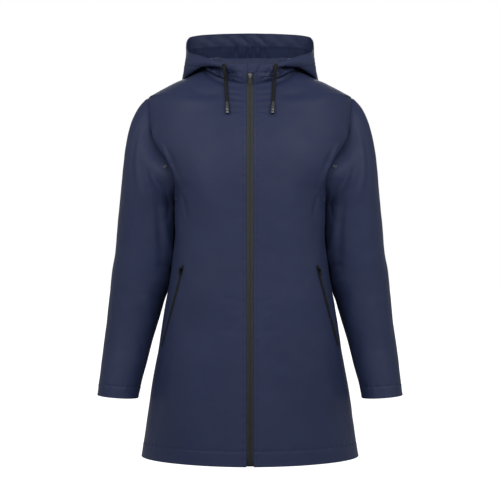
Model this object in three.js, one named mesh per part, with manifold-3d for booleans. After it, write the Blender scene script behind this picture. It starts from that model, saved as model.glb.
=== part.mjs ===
// A hooded raincoat in the hollow form that it has when worn, with no wearer inside.
// Millimetres, +Z up, the front faces -Y and the wearer's left is +X.
// The origin is midway between the two shoulder-neck points, where the wearer holds the coat.
import * as THREE from "three";
import { mergeVertices } from "three/addons/utils/BufferGeometryUtils.js";
import Module from "manifold-3d";

// ---- driving dimensions -------------------------------------------------------------------
const WALL = 1.5; // coated cloth, with its taped seams
const SEAM = 0.3; // gap between two pieces at a seam, and under what lies on a panel
const HEM_Z = -831; // the hem, below the shoulder-neck points
const NECK_HALF = 97; // half the width between the shoulder-neck points
const NECK_DROP_FRONT = 40.5;
const NECK_DROP_BACK = 12;
const SHOULDER_DROP = 62; // from the shoulder-neck point to the tip of the shoulder
const ARMHOLE_FOOT_Z = -265; // bottom of the armhole
const ZIP_HALF = 7.5; // from the middle of the zip to the edge of a front
const SIDE_Y = 3; // side seams and shoulder seams lie in this plane
const SLEEVE_SQUARE = 2.1; // exponent of the sleeve's sections
const NECK_STEPS = 8; // columns of a half panel under the neckline
const SHOULDER_STEPS = 5; // and under the shoulder seam
const CROWN_STEPS = 2; // neckline steps under half of the hood's middle strip
const NECK_SHARE = 0.34; // share of the side-to-middle angle that lies under the neckline
const TOP_ZONE_Z = -170; // above this height the rows of a panel fan out to its top edge

// Body sections by height: half-width, depth in front of and behind the side seams, and the
// exponent of the superellipse that each section is.
const BODY = [
  { z: 2, wide: 93, front: 58, back: 51, square: 2.4 },
  { z: 0, wide: 97, front: 60, back: 53, square: 2.4 },
  { z: -12, wide: 119, front: 72, back: 60, square: 2.4 },
  { z: -24, wide: 142, front: 79, back: 70, square: 2.4 },
  { z: -30, wide: 157, front: 82, back: 76, square: 2.4 },
  { z: -45, wide: 187, front: 89, back: 87, square: 2.4 },
  { z: -54, wide: 204, front: 93, back: 92, square: 2.4 },
  { z: -62, wide: 217, front: 97, back: 96, square: 2.4 },
  { z: -80, wide: 221, front: 105, back: 104, square: 2.4 },
  { z: -100, wide: 223, front: 113, back: 112, square: 2.4 },
  { z: -138, wide: 224, front: 126, back: 123, square: 2.4 },
  { z: -180, wide: 217, front: 137, back: 129, square: 2.45 },
  { z: -211, wide: 203, front: 142, back: 129, square: 2.55 },
  { z: -240, wide: 183, front: 145, back: 128, square: 2.7 },
  { z: -265, wide: 165, front: 146.5, back: 126, square: 2.9 },
  { z: -300, wide: 161, front: 147, back: 123, square: 3 },
  { z: -350, wide: 161.5, front: 148, back: 122, square: 2.95 },
  { z: -393, wide: 164, front: 149, back: 123, square: 2.9 },
  { z: -436, wide: 169, front: 151.5, back: 126, square: 2.85 },
  { z: -479, wide: 176, front: 154, back: 130, square: 2.8 },
  { z: -544, wide: 186, front: 158, back: 136, square: 2.55 },
  { z: -630, wide: 201, front: 164, back: 145, square: 2.35 },
  { z: -716, wide: 215.5, front: 170, back: 154, square: 2.1 },
  { z: -831, wide: 233, front: 178, back: 163, square: 1.85 },
];

// Edge of the armhole: distance from the middle of the coat, on the front and on the back.
const ARMHOLE = [
  { z: -62, front: 217, back: 217 },
  { z: -80, front: 216, back: 215.5 },
  { z: -100, front: 215, back: 214 },
  { z: -138, front: 213, back: 209 },
  { z: -165, front: 206, back: 202 },
  { z: -180, front: 199, back: 196 },
  { z: -211, front: 178, back: 180 },
  { z: -240, front: 166, back: 169 },
  { z: -265, front: 165, back: 165 },
];

// Heights of a panel's rows along its side seam and armhole.
const LOWER_ROWS = [HEM_Z, -760, -670, -575, -480, -390, -320];
const ARMHOLE_ROWS = [-265, -262, -255, -245, -231, -213, -190, -163, -134, -105, -82, -62];
const ROWS = [...LOWER_ROWS, ...ARMHOLE_ROWS];

// Sleeve sections below the shoulder: centre, half-width, half-depth, and how much the
// section falls towards the body.
const SLEEVE = [
  { z: -300, x: 222.3, y: 6, wide: 58.8, deep: 71, fall: 0 },
  { z: -350, x: 225, y: 8, wide: 61, deep: 71, fall: 0 },
  { z: -393, x: 228.5, y: 9, wide: 61.5, deep: 70, fall: 0 },
  { z: -436, x: 235.2, y: 9, wide: 62, deep: 68, fall: 0.01 },
  { z: -479, x: 240.5, y: 8, wide: 60.7, deep: 66, fall: 0.02 },
  { z: -501, x: 244.5, y: 5, wide: 59, deep: 64, fall: 0.03 },
  { z: -544, x: 252.7, y: 0, wide: 54.7, deep: 61, fall: 0.04 },
  { z: -587, x: 261.5, y: -6, wide: 51, deep: 58, fall: 0.05 },
  { z: -630, x: 269, y: -16, wide: 48, deep: 54.5, fall: 0.06 },
  { z: -673, x: 277, y: -26, wide: 44.5, deep: 51, fall: 0.07 },
  { z: -700, x: 281, y: -32, wide: 43, deep: 49, fall: 0.075 },
];
const SLEEVE_ROWS = [-300, -345, -393, -450, -510, -575, -640, -700];
const CAP_STEPS = 6; // sections between the armhole and the first of those rows

// Hood, folded down. One row for each place along the neckline, from the front edge (0) to
// the middle of the back (1): top of the stand, inside of the pouch, bottom of the pouch,
// outside of the pouch and rim of the face opening.
const HOOD = [
  { at: 0 / 16, stand: [7.5, -86, -31], inner: [7.5, -87, -23], pouch: [7.5, -87, -15],
    outer: [7.5, -86, -7], rim: [7.5, -84, 1] },
  { at: 1 / 16, stand: [26, -86, -29], inner: [26, -87, -21], pouch: [26, -88, -14],
    outer: [26, -88, -7], rim: [26, -86, 0] },
  { at: 2 / 16, stand: [43, -84, -24], inner: [43, -86, -17], pouch: [43, -88, -12],
    outer: [43, -89, -7], rim: [44, -87, 0] },
  { at: 4 / 16, stand: [69, -72, -4], inner: [69, -77, -2], pouch: [70, -82, -4.5],
    outer: [72, -84, 0.5], rim: [72, -80, 7.5] },
  { at: 6 / 16, stand: [86, -46, 11], inner: [92, -50, 8], pouch: [99.5, -59, -3],
    outer: [105.5, -61, 6], rim: [103, -57, 20.5] },
  { at: 8 / 16, stand: [93, 3, 20], inner: [112, -4, 2], pouch: [139.5, -11, -20.5],
    outer: [141, -15, 4], rim: [132.5, -17, 34] },
  { at: 10 / 16, stand: [86, 36, 26], inner: [115, 42, 2], pouch: [149, 48, -28],
    outer: [141, 46, 9], rim: [139, 45, 53] },
  { at: 11 / 16, stand: [77, 48, 29], inner: [108, 66, -10], pouch: [152, 84, -46],
    outer: [144, 82, 4], rim: [139.5, 80, 69] },
  { at: 12 / 16, stand: [64, 57, 30], inner: [90, 86, -26], pouch: [128, 116, -78],
    outer: [140, 118, -6], rim: [134.5, 109, 83] },
  { at: 13 / 16, stand: [50, 63, 30], inner: [64, 101, -38], pouch: [90, 136, -102],
    outer: [104, 152, -14], rim: [100, 127, 91.5] },
  { at: 14 / 16, stand: [33.2, 67, 30], inner: [35, 110, -46], pouch: [37, 150, -118],
    outer: [39, 172, -18], rim: [35, 134, 94.5] },
  { at: 16 / 16, stand: [0, 69, 30], inner: [0, 112, -48], pouch: [0, 152, -121],
    outer: [0, 176, -18], rim: [0, 135, 95] },
];
const HOOD_CURVE_STEPS = [2, 2, 3, 3, 3]; // facets between neighbours of a hood section

const ZIP = { tapeIn: 0.15, tapeOut: 12, top: -18.5, foot: HEM_Z + 1.5, backSet: WALL + 3 * SEAM };
const SLIDER = { wide: 8.6, tall: 12, thick: 3, bail: 2.4, bailOut: 4, bailTall: 9, bailBar: 1.3 };
const PULL = { wide: 6, long: 18, thick: 1.2, bar: 1.2, window: 6.2, pivotOut: 4.5, pivotUp: 1.5 };
const ZIP_BOX = { wide: 7.6, tall: 9, thick: 3.6, z: -821.5 };
const GARAGE_THICK = 1.2;
const SLIDER_Z = -26; // the front slider, closed to the top of the zip

// Pocket zips: slanting lines on the fronts, from the upper end to the lower end.
const POCKET = {
  topX: 139.5, topZ: -422, footX: 185, footZ: -591,
  half: 4.6, thick: 1.2, lift: 0.75, steps: 10,
};
const POCKET_PULL_SCALE = 0.72;

const CORD = { radius: 3.2, sides: 8, steps: 16 };
// Route of a drawcord's free end, from its eyelet to the cord end: x, z and how far the cord's
// middle stands out from the cloth.
const CORD_ROUTE = [
  { x: 54, z: -4.2, out: 1.9 },
  { x: 53.9, z: -6.4, out: 5.6 },
  { x: 53.6, z: -11, out: 8.6 },
  { x: 53, z: -18, out: 9.2 },
  { x: 52.2, z: -26, out: 7.6 },
  { x: 51.3, z: -35, out: 5.8 },
  { x: 50.4, z: -44, out: 4.8 },
  { x: 49.6, z: -54, out: 4.4 },
  { x: 48.8, z: -64, out: 4.4 },
  { x: 48.2, z: -74, out: 4.8 },
  { x: 47.8, z: -82, out: 5.2 },
];
const CORD_END = { long: 27, neck: 3.6, barrel: 4.1, bell: 4.6 };
const CORD_EYELET = { outer: 6.2, hole: 4.3, thick: 1.2, z: -4.8 };
const VENT_EYELET = { outer: 3.6, hole: 1.7, thick: 1 };
const BODY_VENT = { x: 155, z: -283 };
const SLEEVE_VENT = { column: 6, share: 0.06, step: 0.02 }; // place round and along the sleeve

const COLOURS = {
  cloth: 0x373f5c,
  hoodCloth: 0x3a4059,
  tape: 0x34373a,
  darkMetal: 0x3c3f45,
  cord: 0x2d2e3b,
  cordEnd: 0x1c1d22,
  eyelet: 0xa9adb5,
};

// ---- small tools ----------------------------------------------------------------------------
const wasm = await Module();
wasm.setup();

const V = (x, y, z) => new THREE.Vector3(x, y, z);
const mirrored = (p) => V(-p.x, p.y, p.z);
const clamp01 = (t) => Math.min(1, Math.max(0, t));
const smooth = (t) => clamp01(t) ** 2 * (3 - 2 * clamp01(t));

// A smooth curve through the rows of a table that never overshoots them.
function tableCurve(rows, key, value) {
  const r = [...rows].sort((a, b) => a[key] - b[key]);
  const xs = r.map((row) => row[key]);
  const ys = r.map((row) => row[value]);
  const rise = xs.slice(1).map((x, i) => (ys[i + 1] - ys[i]) / (x - xs[i]));
  const slope = xs.map((_, i) => {
    const before = rise[i - 1] ?? rise[i];
    const after = rise[i] ?? rise[i - 1];
    return before * after > 0 ? (2 * before * after) / (before + after) : 0;
  });
  return (x) => {
    let i = 0;
    while (i < xs.length - 2 && x > xs[i + 1]) i += 1;
    const h = xs[i + 1] - xs[i];
    const t = clamp01((x - xs[i]) / h);
    return (
      ys[i] * (1 + 2 * t) * (1 - t) ** 2 +
      slope[i] * h * t * (1 - t) ** 2 +
      ys[i + 1] * t * t * (3 - 2 * t) +
      slope[i + 1] * h * t * t * (t - 1)
    );
  };
}

// Outward normals of a grid of points. In a ring the last point of a row joins the first.
function normalsOf(grid, { ring = false, flip = false } = {}) {
  const rows = grid.length;
  const cols = grid[0].length;
  const at = (i, j) => grid[i][(j + cols) % cols];
  return grid.map((row, i) =>
    row.map((_, j) => {
      const back = ring || j > 0 ? at(i, j - 1) : at(i, j);
      const ahead = ring || j < cols - 1 ? at(i, j + 1) : at(i, j);
      const across = V(0, 0, 0).subVectors(ahead, back);
      const along = V(0, 0, 0).subVectors(grid[Math.min(i + 1, rows - 1)][j], grid[Math.max(i - 1, 0)][j]);
      return across.cross(along).normalize().multiplyScalar(flip ? -1 : 1);
    }),
  );
}

// A closed wall on a grid of points: the grid is its outer face, and the wall lies inside it.
function wall(grid, { ring = false, thick = WALL, flip = false, normals: given } = {}) {
  const normals = given ?? normalsOf(grid, { ring, flip });
  const rows = grid.length;
  const cols = grid[0].length;
  const outer = grid.map((row) => row.map((p) => p.clone()));
  const inner = grid.map((row, i) => row.map((p, j) => p.clone().addScaledVector(normals[i][j], -thick)));
  const points = [...outer.flat(), ...inner.flat()];
  const id = (layer, i, j) => layer * rows * cols + i * cols + ((j + cols) % cols);
  const faces = [];
  const quad = (a, b, c, d) => faces.push([a, b, c], [a, c, d]);
  const lastCol = ring ? cols : cols - 1;
  for (let i = 0; i < rows - 1; i += 1) {
    for (let j = 0; j < lastCol; j += 1) {
      quad(id(0, i, j), id(0, i, j + 1), id(0, i + 1, j + 1), id(0, i + 1, j));
      quad(id(1, i, j), id(1, i + 1, j), id(1, i + 1, j + 1), id(1, i, j + 1));
    }
  }
  for (let j = 0; j < lastCol; j += 1) {
    quad(id(0, 0, j), id(1, 0, j), id(1, 0, j + 1), id(0, 0, j + 1));
    quad(id(0, rows - 1, j), id(0, rows - 1, j + 1), id(1, rows - 1, j + 1), id(1, rows - 1, j));
  }
  if (!ring) {
    for (let i = 0; i < rows - 1; i += 1) {
      quad(id(0, i, 0), id(0, i + 1, 0), id(1, i + 1, 0), id(1, i, 0));
      quad(id(0, i, cols - 1), id(1, i, cols - 1), id(1, i + 1, cols - 1), id(0, i + 1, cols - 1));
    }
  }
  return surface(points, flip ? faces.map(([a, b, c]) => [a, c, b]) : faces);
}

function surface(points, faces) {
  const geometry = new THREE.BufferGeometry();
  const flat = new Float32Array(points.flatMap((p) => [p.x, p.y, p.z]));
  geometry.setAttribute("position", new THREE.BufferAttribute(flat, 3));
  geometry.setIndex(faces.flat());
  return geometry;
}

// The same solid for the wearer's right.
function mirrorX(geometry) {
  const copy = geometry.clone();
  copy.scale(-1, 1, 1);
  const index = [...copy.index.array];
  for (let i = 0; i < index.length; i += 3) [index[i + 1], index[i + 2]] = [index[i + 2], index[i + 1]];
  copy.setIndex(index);
  return copy;
}

function toManifold(geometry) {
  const plain = new THREE.BufferGeometry();
  plain.setAttribute("position", geometry.getAttribute("position"));
  if (geometry.index) plain.setIndex(geometry.index);
  const merged = mergeVertices(plain, 1e-4);
  return new wasm.Manifold(
    new wasm.Mesh({
      numProp: 3,
      vertProperties: new Float32Array(merged.getAttribute("position").array),
      triVerts: new Uint32Array(merged.index.array),
    }),
  );
}

function fromManifold(solid) {
  const mesh = solid.getMesh();
  const geometry = new THREE.BufferGeometry();
  geometry.setAttribute("position", new THREE.BufferAttribute(mesh.vertProperties, 3));
  geometry.setIndex(new THREE.BufferAttribute(mesh.triVerts, 1));
  return geometry;
}

const join = (a, b) => fromManifold(toManifold(a).add(toManifold(b)));
const cut = (a, b) => fromManifold(toManifold(a).subtract(toManifold(b)));

function box(wide, deep, tall, x, y, z) {
  return new THREE.BoxGeometry(wide, deep, tall).translate(x, y, z);
}

// Axes for a small piece that lies on the cloth: its own y points out of the cloth and its
// own z runs up along the zip or the hanging direction.
function seat(point, out, up) {
  const y = out.clone().normalize();
  const z = up.clone().addScaledVector(y, -up.dot(y)).normalize();
  const x = V(0, 0, 0).crossVectors(y, z);
  return new THREE.Matrix4().makeBasis(x, y, z).setPosition(point);
}

// ---- body of the coat -------------------------------------------------------------------------
const wideAt = tableCurve(BODY, "z", "wide");
const frontAt = tableCurve(BODY, "z", "front");
const backAt = tableCurve(BODY, "z", "back");
const squareAt = tableCurve(BODY, "z", "square");
const armholeAt = {
  front: tableCurve(ARMHOLE, "z", "front"),
  back: tableCurve(ARMHOLE, "z", "back"),
};
const powerAt = (z) => 2 / squareAt(z);

// A point of the body's section at a height. The angle is 0 in the middle of the front or
// of the back, and a quarter turn at the side seam.
function bodyPoint(side, z, angle) {
  const x = wideAt(z) * Math.sin(angle) ** powerAt(z);
  const reach = Math.cos(angle) ** powerAt(z);
  return V(x, side === "front" ? SIDE_Y - frontAt(z) * reach : SIDE_Y + backAt(z) * reach, z);
}

const angleOf = (x, z) => Math.asin(clamp01(x / wideAt(z)) ** (1 / powerAt(z)));

// The point at a distance x from the middle, its outward normal, and the way up the cloth.
function onBody(side, x, z) {
  const step = 0.5;
  const p = bodyPoint(side, z, angleOf(x, z));
  const beside = bodyPoint(side, z, angleOf(x - step, z));
  const above = bodyPoint(side, z + step, angleOf(x, z + step));
  const across = V(0, 0, 0).subVectors(p, beside);
  const up = V(0, 0, 0).subVectors(above, p).normalize();
  const out = across.cross(up).normalize();
  if (out.y > 0 === (side === "front")) out.negate();
  return { p, out, up };
}

// Half a seam at the side seam, as an angle of the section.
const sideAngle = (side, z) => {
  const depth = side === "front" ? frontAt(z) : backAt(z);
  return Math.PI / 2 - (SEAM / 2 / depth) ** (1 / powerAt(z));
};

// Greatest angle of a panel at a height: the armhole, or the side or shoulder seam.
function edgeAngle(side, z) {
  const seam = sideAngle(side, z);
  if (z <= ARMHOLE_FOOT_Z || z >= -SHOULDER_DROP) return seam;
  return Math.min(seam, angleOf(armholeAt[side](z), z));
}

// Top of column k: along the neckline, then along the shoulder seam.
const COLUMNS = NECK_STEPS + SHOULDER_STEPS;
const FRONT_EDGE_TURN = Math.asin(ZIP_HALF / NECK_HALF);
function columnTop(side, k) {
  if (k >= NECK_STEPS) {
    const z = (-SHOULDER_DROP * (k - NECK_STEPS)) / SHOULDER_STEPS;
    return { z, x: bodyPoint(side, z, sideAngle(side, z)).x };
  }
  if (side === "front") {
    const turn = FRONT_EDGE_TURN + ((Math.PI / 2 - FRONT_EDGE_TURN) * k) / NECK_STEPS;
    return { x: NECK_HALF * Math.sin(turn), z: -NECK_DROP_FRONT * Math.cos(turn) ** 1.5 };
  }
  const crown = (20 * Math.PI) / 180;
  const turn = k <= CROWN_STEPS ? (crown * k) / CROWN_STEPS
    : crown + ((Math.PI / 2 - crown) * (k - CROWN_STEPS)) / (NECK_STEPS - CROWN_STEPS);
  return { x: NECK_HALF * Math.sin(turn), z: -NECK_DROP_BACK * Math.cos(turn) ** 1.5 };
}

function columnShare(k) {
  if (k <= NECK_STEPS) return (NECK_SHARE * k) / NECK_STEPS;
  return NECK_SHARE + ((1 - NECK_SHARE) * (k - NECK_STEPS)) / SHOULDER_STEPS;
}

// Row r of column k, from the hem up. Rows are level up to the top zone and then fan out.
function panelPoint(side, k, r) {
  const top = columnTop(side, k);
  const row = ROWS[r];
  const fan = (row - TOP_ZONE_Z) / (-SHOULDER_DROP - TOP_ZONE_Z);
  const z = row <= TOP_ZONE_Z ? row : TOP_ZONE_Z + fan * (top.z - TOP_ZONE_Z);
  const edgeX = side === "front" ? ZIP_HALF : 0;
  const plainX = (height) => {
    const first = angleOf(edgeX, height);
    const angle = first + columnShare(k) * (edgeAngle(side, height) - first);
    return bodyPoint(side, height, angle).x;
  };
  if (k === COLUMNS) return bodyPoint(side, z, edgeAngle(side, z));
  const blend = smooth((z - (top.z - 150)) / 150);
  const x = plainX(z) + blend * (top.x - plainX(top.z));
  return bodyPoint(side, z, Math.min(angleOf(x, z), edgeAngle(side, z)));
}

const rowNumbers = ROWS.map((_, r) => r);
const columnNumbers = (from, to) => Array.from({ length: to - from + 1 }, (_, i) => from + i);

// A panel whose wall meets its neighbour's squarely at the side and shoulder seams.
function bodyPanel(grid, flip) {
  const normals = normalsOf(grid, { flip });
  grid.forEach((row, i) =>
    row.forEach((p, j) => {
      if (Math.abs(p.y - SIDE_Y) < SEAM) normals[i][j].setY(0).normalize();
    }),
  );
  return wall(grid, { flip, normals });
}

const frontGrid = rowNumbers.map((r) => columnNumbers(0, COLUMNS).map((k) => panelPoint("front", k, r)));
const frontPanel = () => bodyPanel(frontGrid, false);

// The point of the front's own facets at a distance x from the middle and a height z.
function onFront(x, z) {
  const here = onBody("front", x, z);
  const flat = (a, b) => (b.x - a.x) * (z - a.z) - (b.z - a.z) * (x - a.x);
  for (let r = 0; r < ROWS.length - 1; r += 1) {
    for (let k = 0; k < COLUMNS; k += 1) {
      const [a, b] = [frontGrid[r][k], frontGrid[r][k + 1]];
      const [d, c] = [frontGrid[r + 1][k], frontGrid[r + 1][k + 1]];
      for (const [p, q, s] of [[a, b, c], [a, c, d]]) {
        const [u, v, w] = [flat(q, s), flat(s, p), flat(p, q)];
        const inside = (u >= 0 && v >= 0 && w >= 0) || (u <= 0 && v <= 0 && w <= 0);
        const whole = u + v + w;
        if (inside && whole !== 0) return { ...here, p: V(x, (u * p.y + v * q.y + w * s.y) / whole, z) };
      }
    }
  }
  return here;
}

function backPanel() {
  const columns = columnNumbers(-COLUMNS, COLUMNS);
  const point = (k, r) => {
    const p = panelPoint("back", Math.abs(k), r);
    return k < 0 ? mirrored(p) : p;
  };
  return bodyPanel(rowNumbers.map((r) => columns.map((k) => point(k, r))), true);
}

// ---- sleeves ------------------------------------------------------------------------------------
const sleeveCurve = Object.fromEntries(
  ["x", "y", "wide", "deep", "fall"].map((key) => [key, tableCurve(SLEEVE, "z", key)]),
);

// Angle 0 is the outside of the arm, a quarter turn is its front, half a turn its inside.
function sleeveSection(z, angle) {
  const c = Math.cos(angle);
  const s = Math.sin(angle);
  const bend = 2 / SLEEVE_SQUARE;
  const dx = sleeveCurve.wide(z) * Math.sign(c) * Math.abs(c) ** bend;
  const dy = -sleeveCurve.deep(z) * Math.sign(s) * Math.abs(s) ** bend;
  return V(sleeveCurve.x(z) + dx, sleeveCurve.y(z) + dy, z + sleeveCurve.fall(z) * dx);
}

// The armhole's edge from the shoulder down its front and up its back, with the angle that
// each point has on the sleeve's sections.
function armholeLoop() {
  const first = LOWER_ROWS.length;
  const last = ROWS.length - 1;
  const down = columnNumbers(first, last).reverse().map((r) => panelPoint("front", COLUMNS, r));
  const up = columnNumbers(first + 1, last - 1).map((r) => panelPoint("back", COLUMNS, r));
  const halfTurn = (points) => {
    const lengths = points.slice(1).map((p, i) => p.distanceTo(points[i]));
    const total = lengths.reduce((a, b) => a + b, 0);
    let run = 0;
    return [0, ...lengths.map((l) => (run += l) / total)];
  };
  const foot = down[down.length - 1];
  foot.y = SIDE_Y;
  down[0].y = SIDE_Y;
  const downAngles = halfTurn(down).map((t) => Math.PI * t);
  const upAngles = halfTurn([foot, ...up, down[0]]).slice(1, -1).map((t) => Math.PI * (1 + t));
  return { points: [...down, ...up], angles: [...downAngles, ...upAngles] };
}

// Way in which the sleeve leaves the armhole: along the shoulder on top, down under the arm.
function sleeveStart(angle) {
  const upper = (1 + Math.cos(angle)) / 2;
  const side = Math.sin(angle);
  return V(0.1 + 0.78 * upper + 0.1 * side * side, -0.3 * side, -1 + 0.53 * upper).normalize();
}

function sleevePoint(edge, angle, t) {
  const first = SLEEVE_ROWS[0];
  const end = sleeveSection(first, angle);
  const ahead = sleeveSection(first - 10, angle).sub(end).normalize();
  const span = edge.distanceTo(end);
  const start = sleeveStart(angle);
  const root = edge.clone().addScaledVector(start, SEAM + 0.25);
  return root
    .multiplyScalar((1 + 2 * t) * (1 - t) ** 2)
    .addScaledVector(start, 0.72 * span * t * (1 - t) ** 2)
    .addScaledVector(end, t * t * (3 - 2 * t))
    .addScaledVector(ahead, span * t * t * (t - 1));
}

function sleevePanel() {
  const loop = armholeLoop();
  const cap = Array.from({ length: CAP_STEPS }, (_, i) => i / CAP_STEPS);
  const capRows = cap.map((t) => loop.points.map((p, j) => sleevePoint(p, loop.angles[j], t)));
  const armRows = SLEEVE_ROWS.map((z) => loop.angles.map((angle) => sleeveSection(z, angle)));
  return wall([...capRows, ...armRows], { ring: true });
}

// ---- hood ---------------------------------------------------------------------------------------
const HOOD_PLACES = 2 * NECK_STEPS;
const HOOD_LINES = ["stand", "inner", "pouch", "outer", "rim"];
const hoodCurves = Object.fromEntries(
  HOOD_LINES.map((line) => [
    line,
    [0, 1, 2].map((axis) =>
      tableCurve(HOOD.map((row) => ({ at: row.at, v: row[line][axis] })), "at", "v"),
    ),
  ]),
);

function neckPoint(i) {
  const [side, k] = i <= NECK_STEPS ? ["front", i] : ["back", HOOD_PLACES - i];
  const top = columnTop(side, k);
  return bodyPoint(side, top.z, angleOf(top.x, top.z));
}

// One section of the hood, from the neck seam over the stand and round the pouch to the rim.
function hoodSection(i) {
  const lines = HOOD_LINES.map((line) => V(...hoodCurves[line].map((curve) => curve(i / HOOD_PLACES))));
  const neck = neckPoint(i).add(V(0, 0, SEAM + 0.1));
  const curve = new THREE.CatmullRomCurve3([neck, ...lines], false, "centripetal");
  const spans = HOOD_CURVE_STEPS.length;
  const points = HOOD_CURVE_STEPS.flatMap((steps, s) =>
    Array.from({ length: steps }, (_, n) => curve.getPoint((s + n / steps) / spans)),
  );
  return [...points, curve.getPoint(1)];
}

function hoodStrip(from, to) {
  return columnNumbers(from, to).map((i) => {
    const places = i > HOOD_PLACES ? 2 * HOOD_PLACES - i : i;
    const section = hoodSection(places);
    return i > HOOD_PLACES ? section.map(mirrored) : section;
  });
}

// A piece of the hood between two places of the neckline, cut back by half a seam where it
// meets the next piece. Its wall follows the whole hood, so that the pieces meet squarely.
function hoodPiece(from, to) {
  const whole = hoodStrip(0, 2 * HOOD_PLACES);
  const normals = normalsOf(whole, { flip: true }).slice(from, to + 1);
  const piece = whole.slice(from, to + 1);
  const cutBack = (section, next) =>
    section.map((p, n) => p.clone().lerp(next[n], SEAM / 2 / p.distanceTo(next[n])));
  const last = piece.length - 1;
  const ends = [cutBack(piece[0], piece[1]), cutBack(piece[last], piece[last - 1])];
  if (from > 0) [piece[0]] = ends;
  if (to < 2 * HOOD_PLACES) [, piece[last]] = ends;
  return wall(piece, { flip: true, normals });
}

const CROWN_FROM = HOOD_PLACES - CROWN_STEPS;
const hoodSide = () => hoodPiece(0, CROWN_FROM);
const hoodMiddle = () => hoodPiece(CROWN_FROM, HOOD_PLACES + CROWN_STEPS);

// ---- zips -----------------------------------------------------------------------------------------
// Middle line of the front opening: up the front and on up the hood's front edge.
function openingLine() {
  const rise = rowNumbers.map((r) => {
    const p = panelPoint("front", 0, r);
    return { y: p.y, z: r === 0 ? ZIP.foot : p.z };
  });
  const hoodRise = [HOOD[0].stand, HOOD[0].inner].map(([, y, z]) => ({ y, z }));
  return [...rise, ...hoodRise, { y: HOOD[0].pouch[1], z: ZIP.top }];
}

function zipTape() {
  const line = openingLine();
  const slope = (i) => {
    const a = line[Math.max(i - 1, 0)];
    const b = line[Math.min(i + 1, line.length - 1)];
    return V(0, b.z - a.z, a.y - b.y).normalize();
  };
  const grid = line.map((p, i) =>
    [ZIP.tapeIn, ZIP.tapeOut].map((x) => V(x, p.y, p.z).addScaledVector(slope(i), ZIP.backSet)),
  );
  return wall(grid, { thick: 1.1 });
}

// Slider with the bridge that carries its pull, in its own axes: y out of the tape, z up.
function sliderShape() {
  const half = SLIDER.wide / 2;
  const foot = -SLIDER.tall / 2;
  const head = SLIDER.tall / 2;
  const plan = new THREE.Shape()
    .moveTo(-half * 0.72, foot)
    .lineTo(half * 0.72, foot)
    .lineTo(half * 0.8, 0)
    .lineTo(half, head * 0.5)
    .lineTo(half * 0.75, head)
    .lineTo(-half * 0.75, head)
    .lineTo(-half, head * 0.5)
    .lineTo(-half * 0.8, 0)
    .closePath();
  const plate = new THREE.ExtrudeGeometry(plan, { depth: SLIDER.thick, bevelEnabled: false })
    .rotateX(Math.PI / 2)
    .translate(0, SLIDER.thick + SEAM, 0);
  const top = SLIDER.thick + SEAM;
  const outer = box(SLIDER.bail, SLIDER.bailOut + 1, SLIDER.bailTall, 0, top + SLIDER.bailOut / 2 - 0.5, 0);
  const slotTall = SLIDER.bailTall - 2 * SLIDER.bailBar;
  const slotOut = SLIDER.bailOut - SLIDER.bailBar;
  const slot = box(SLIDER.bail + 2, slotOut, slotTall, 0, top + slotOut / 2, 0);
  return join(plate, cut(outer, slot));
}

// Pull tab hanging from the slider's bridge: a bar under the bridge, a window and a tongue.
function pullShape() {
  const half = PULL.wide / 2;
  const bridgeGap = SLIDER.bail / 2 + 0.6;
  const top = PULL.pivotUp + PULL.bar / 2;
  const foot = top - PULL.long;
  const round = half * 0.6;
  const outline = new THREE.Shape()
    .moveTo(-half, top)
    .lineTo(-half, foot + round)
    .absarc(-half + round, foot + round, round, Math.PI, 1.5 * Math.PI, false)
    .absarc(half - round, foot + round, round, 1.5 * Math.PI, 2 * Math.PI, false)
    .lineTo(half, top)
    .closePath();
  const window = new THREE.Path()
    .moveTo(-bridgeGap, top - PULL.bar)
    .lineTo(-bridgeGap, top - PULL.bar - PULL.window)
    .lineTo(bridgeGap, top - PULL.bar - PULL.window)
    .lineTo(bridgeGap, top - PULL.bar)
    .closePath();
  outline.holes.push(window);
  return new THREE.ExtrudeGeometry(outline, { depth: PULL.thick, bevelEnabled: false, curveSegments: 4 })
    .rotateX(Math.PI / 2)
    .translate(0, PULL.pivotOut + PULL.thick / 2, 0);
}

const frontSliderSeat = () => {
  const lip = HOOD[0].inner[1] + ZIP.backSet;
  return seat(V(0, lip, SLIDER_Z), V(0, -1, 0), V(0, 0, 1));
};

function pocketFrame(share) {
  const x = POCKET.topX + (POCKET.footX - POCKET.topX) * share;
  const z = POCKET.topZ + (POCKET.footZ - POCKET.topZ) * share;
  const here = onFront(x, z);
  const dx = (POCKET.footX - POCKET.topX) / 100;
  const dz = (POCKET.footZ - POCKET.topZ) / 100;
  const up = here.p.clone().sub(onFront(x + dx, z + dz).p).normalize();
  const across = V(0, 0, 0).crossVectors(up, here.out).normalize();
  return { ...here, up, across };
}

// A pocket zip lies on its front, from the front's own points moved out.
function pocketZip() {
  const rows = Array.from({ length: POCKET.steps + 1 }, (_, i) => pocketFrame(i / POCKET.steps));
  const lift = POCKET.lift + POCKET.thick;
  const grid = rows.map(({ p, out, across }) =>
    [POCKET.half, -POCKET.half].map((w) => {
      const edge = p.clone().addScaledVector(across, w);
      return onFront(edge.x, edge.z).p.addScaledVector(out, lift);
    }),
  );
  return wall(grid, { thick: POCKET.thick });
}

function pocketSliderSeat() {
  const frame = pocketFrame(0.05);
  const point = frame.p.clone().addScaledVector(frame.out, POCKET.lift + POCKET.thick + SEAM / 2);
  return seat(point, frame.out, frame.up).scale(V(POCKET_PULL_SCALE, POCKET_PULL_SCALE, POCKET_PULL_SCALE));
}

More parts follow.
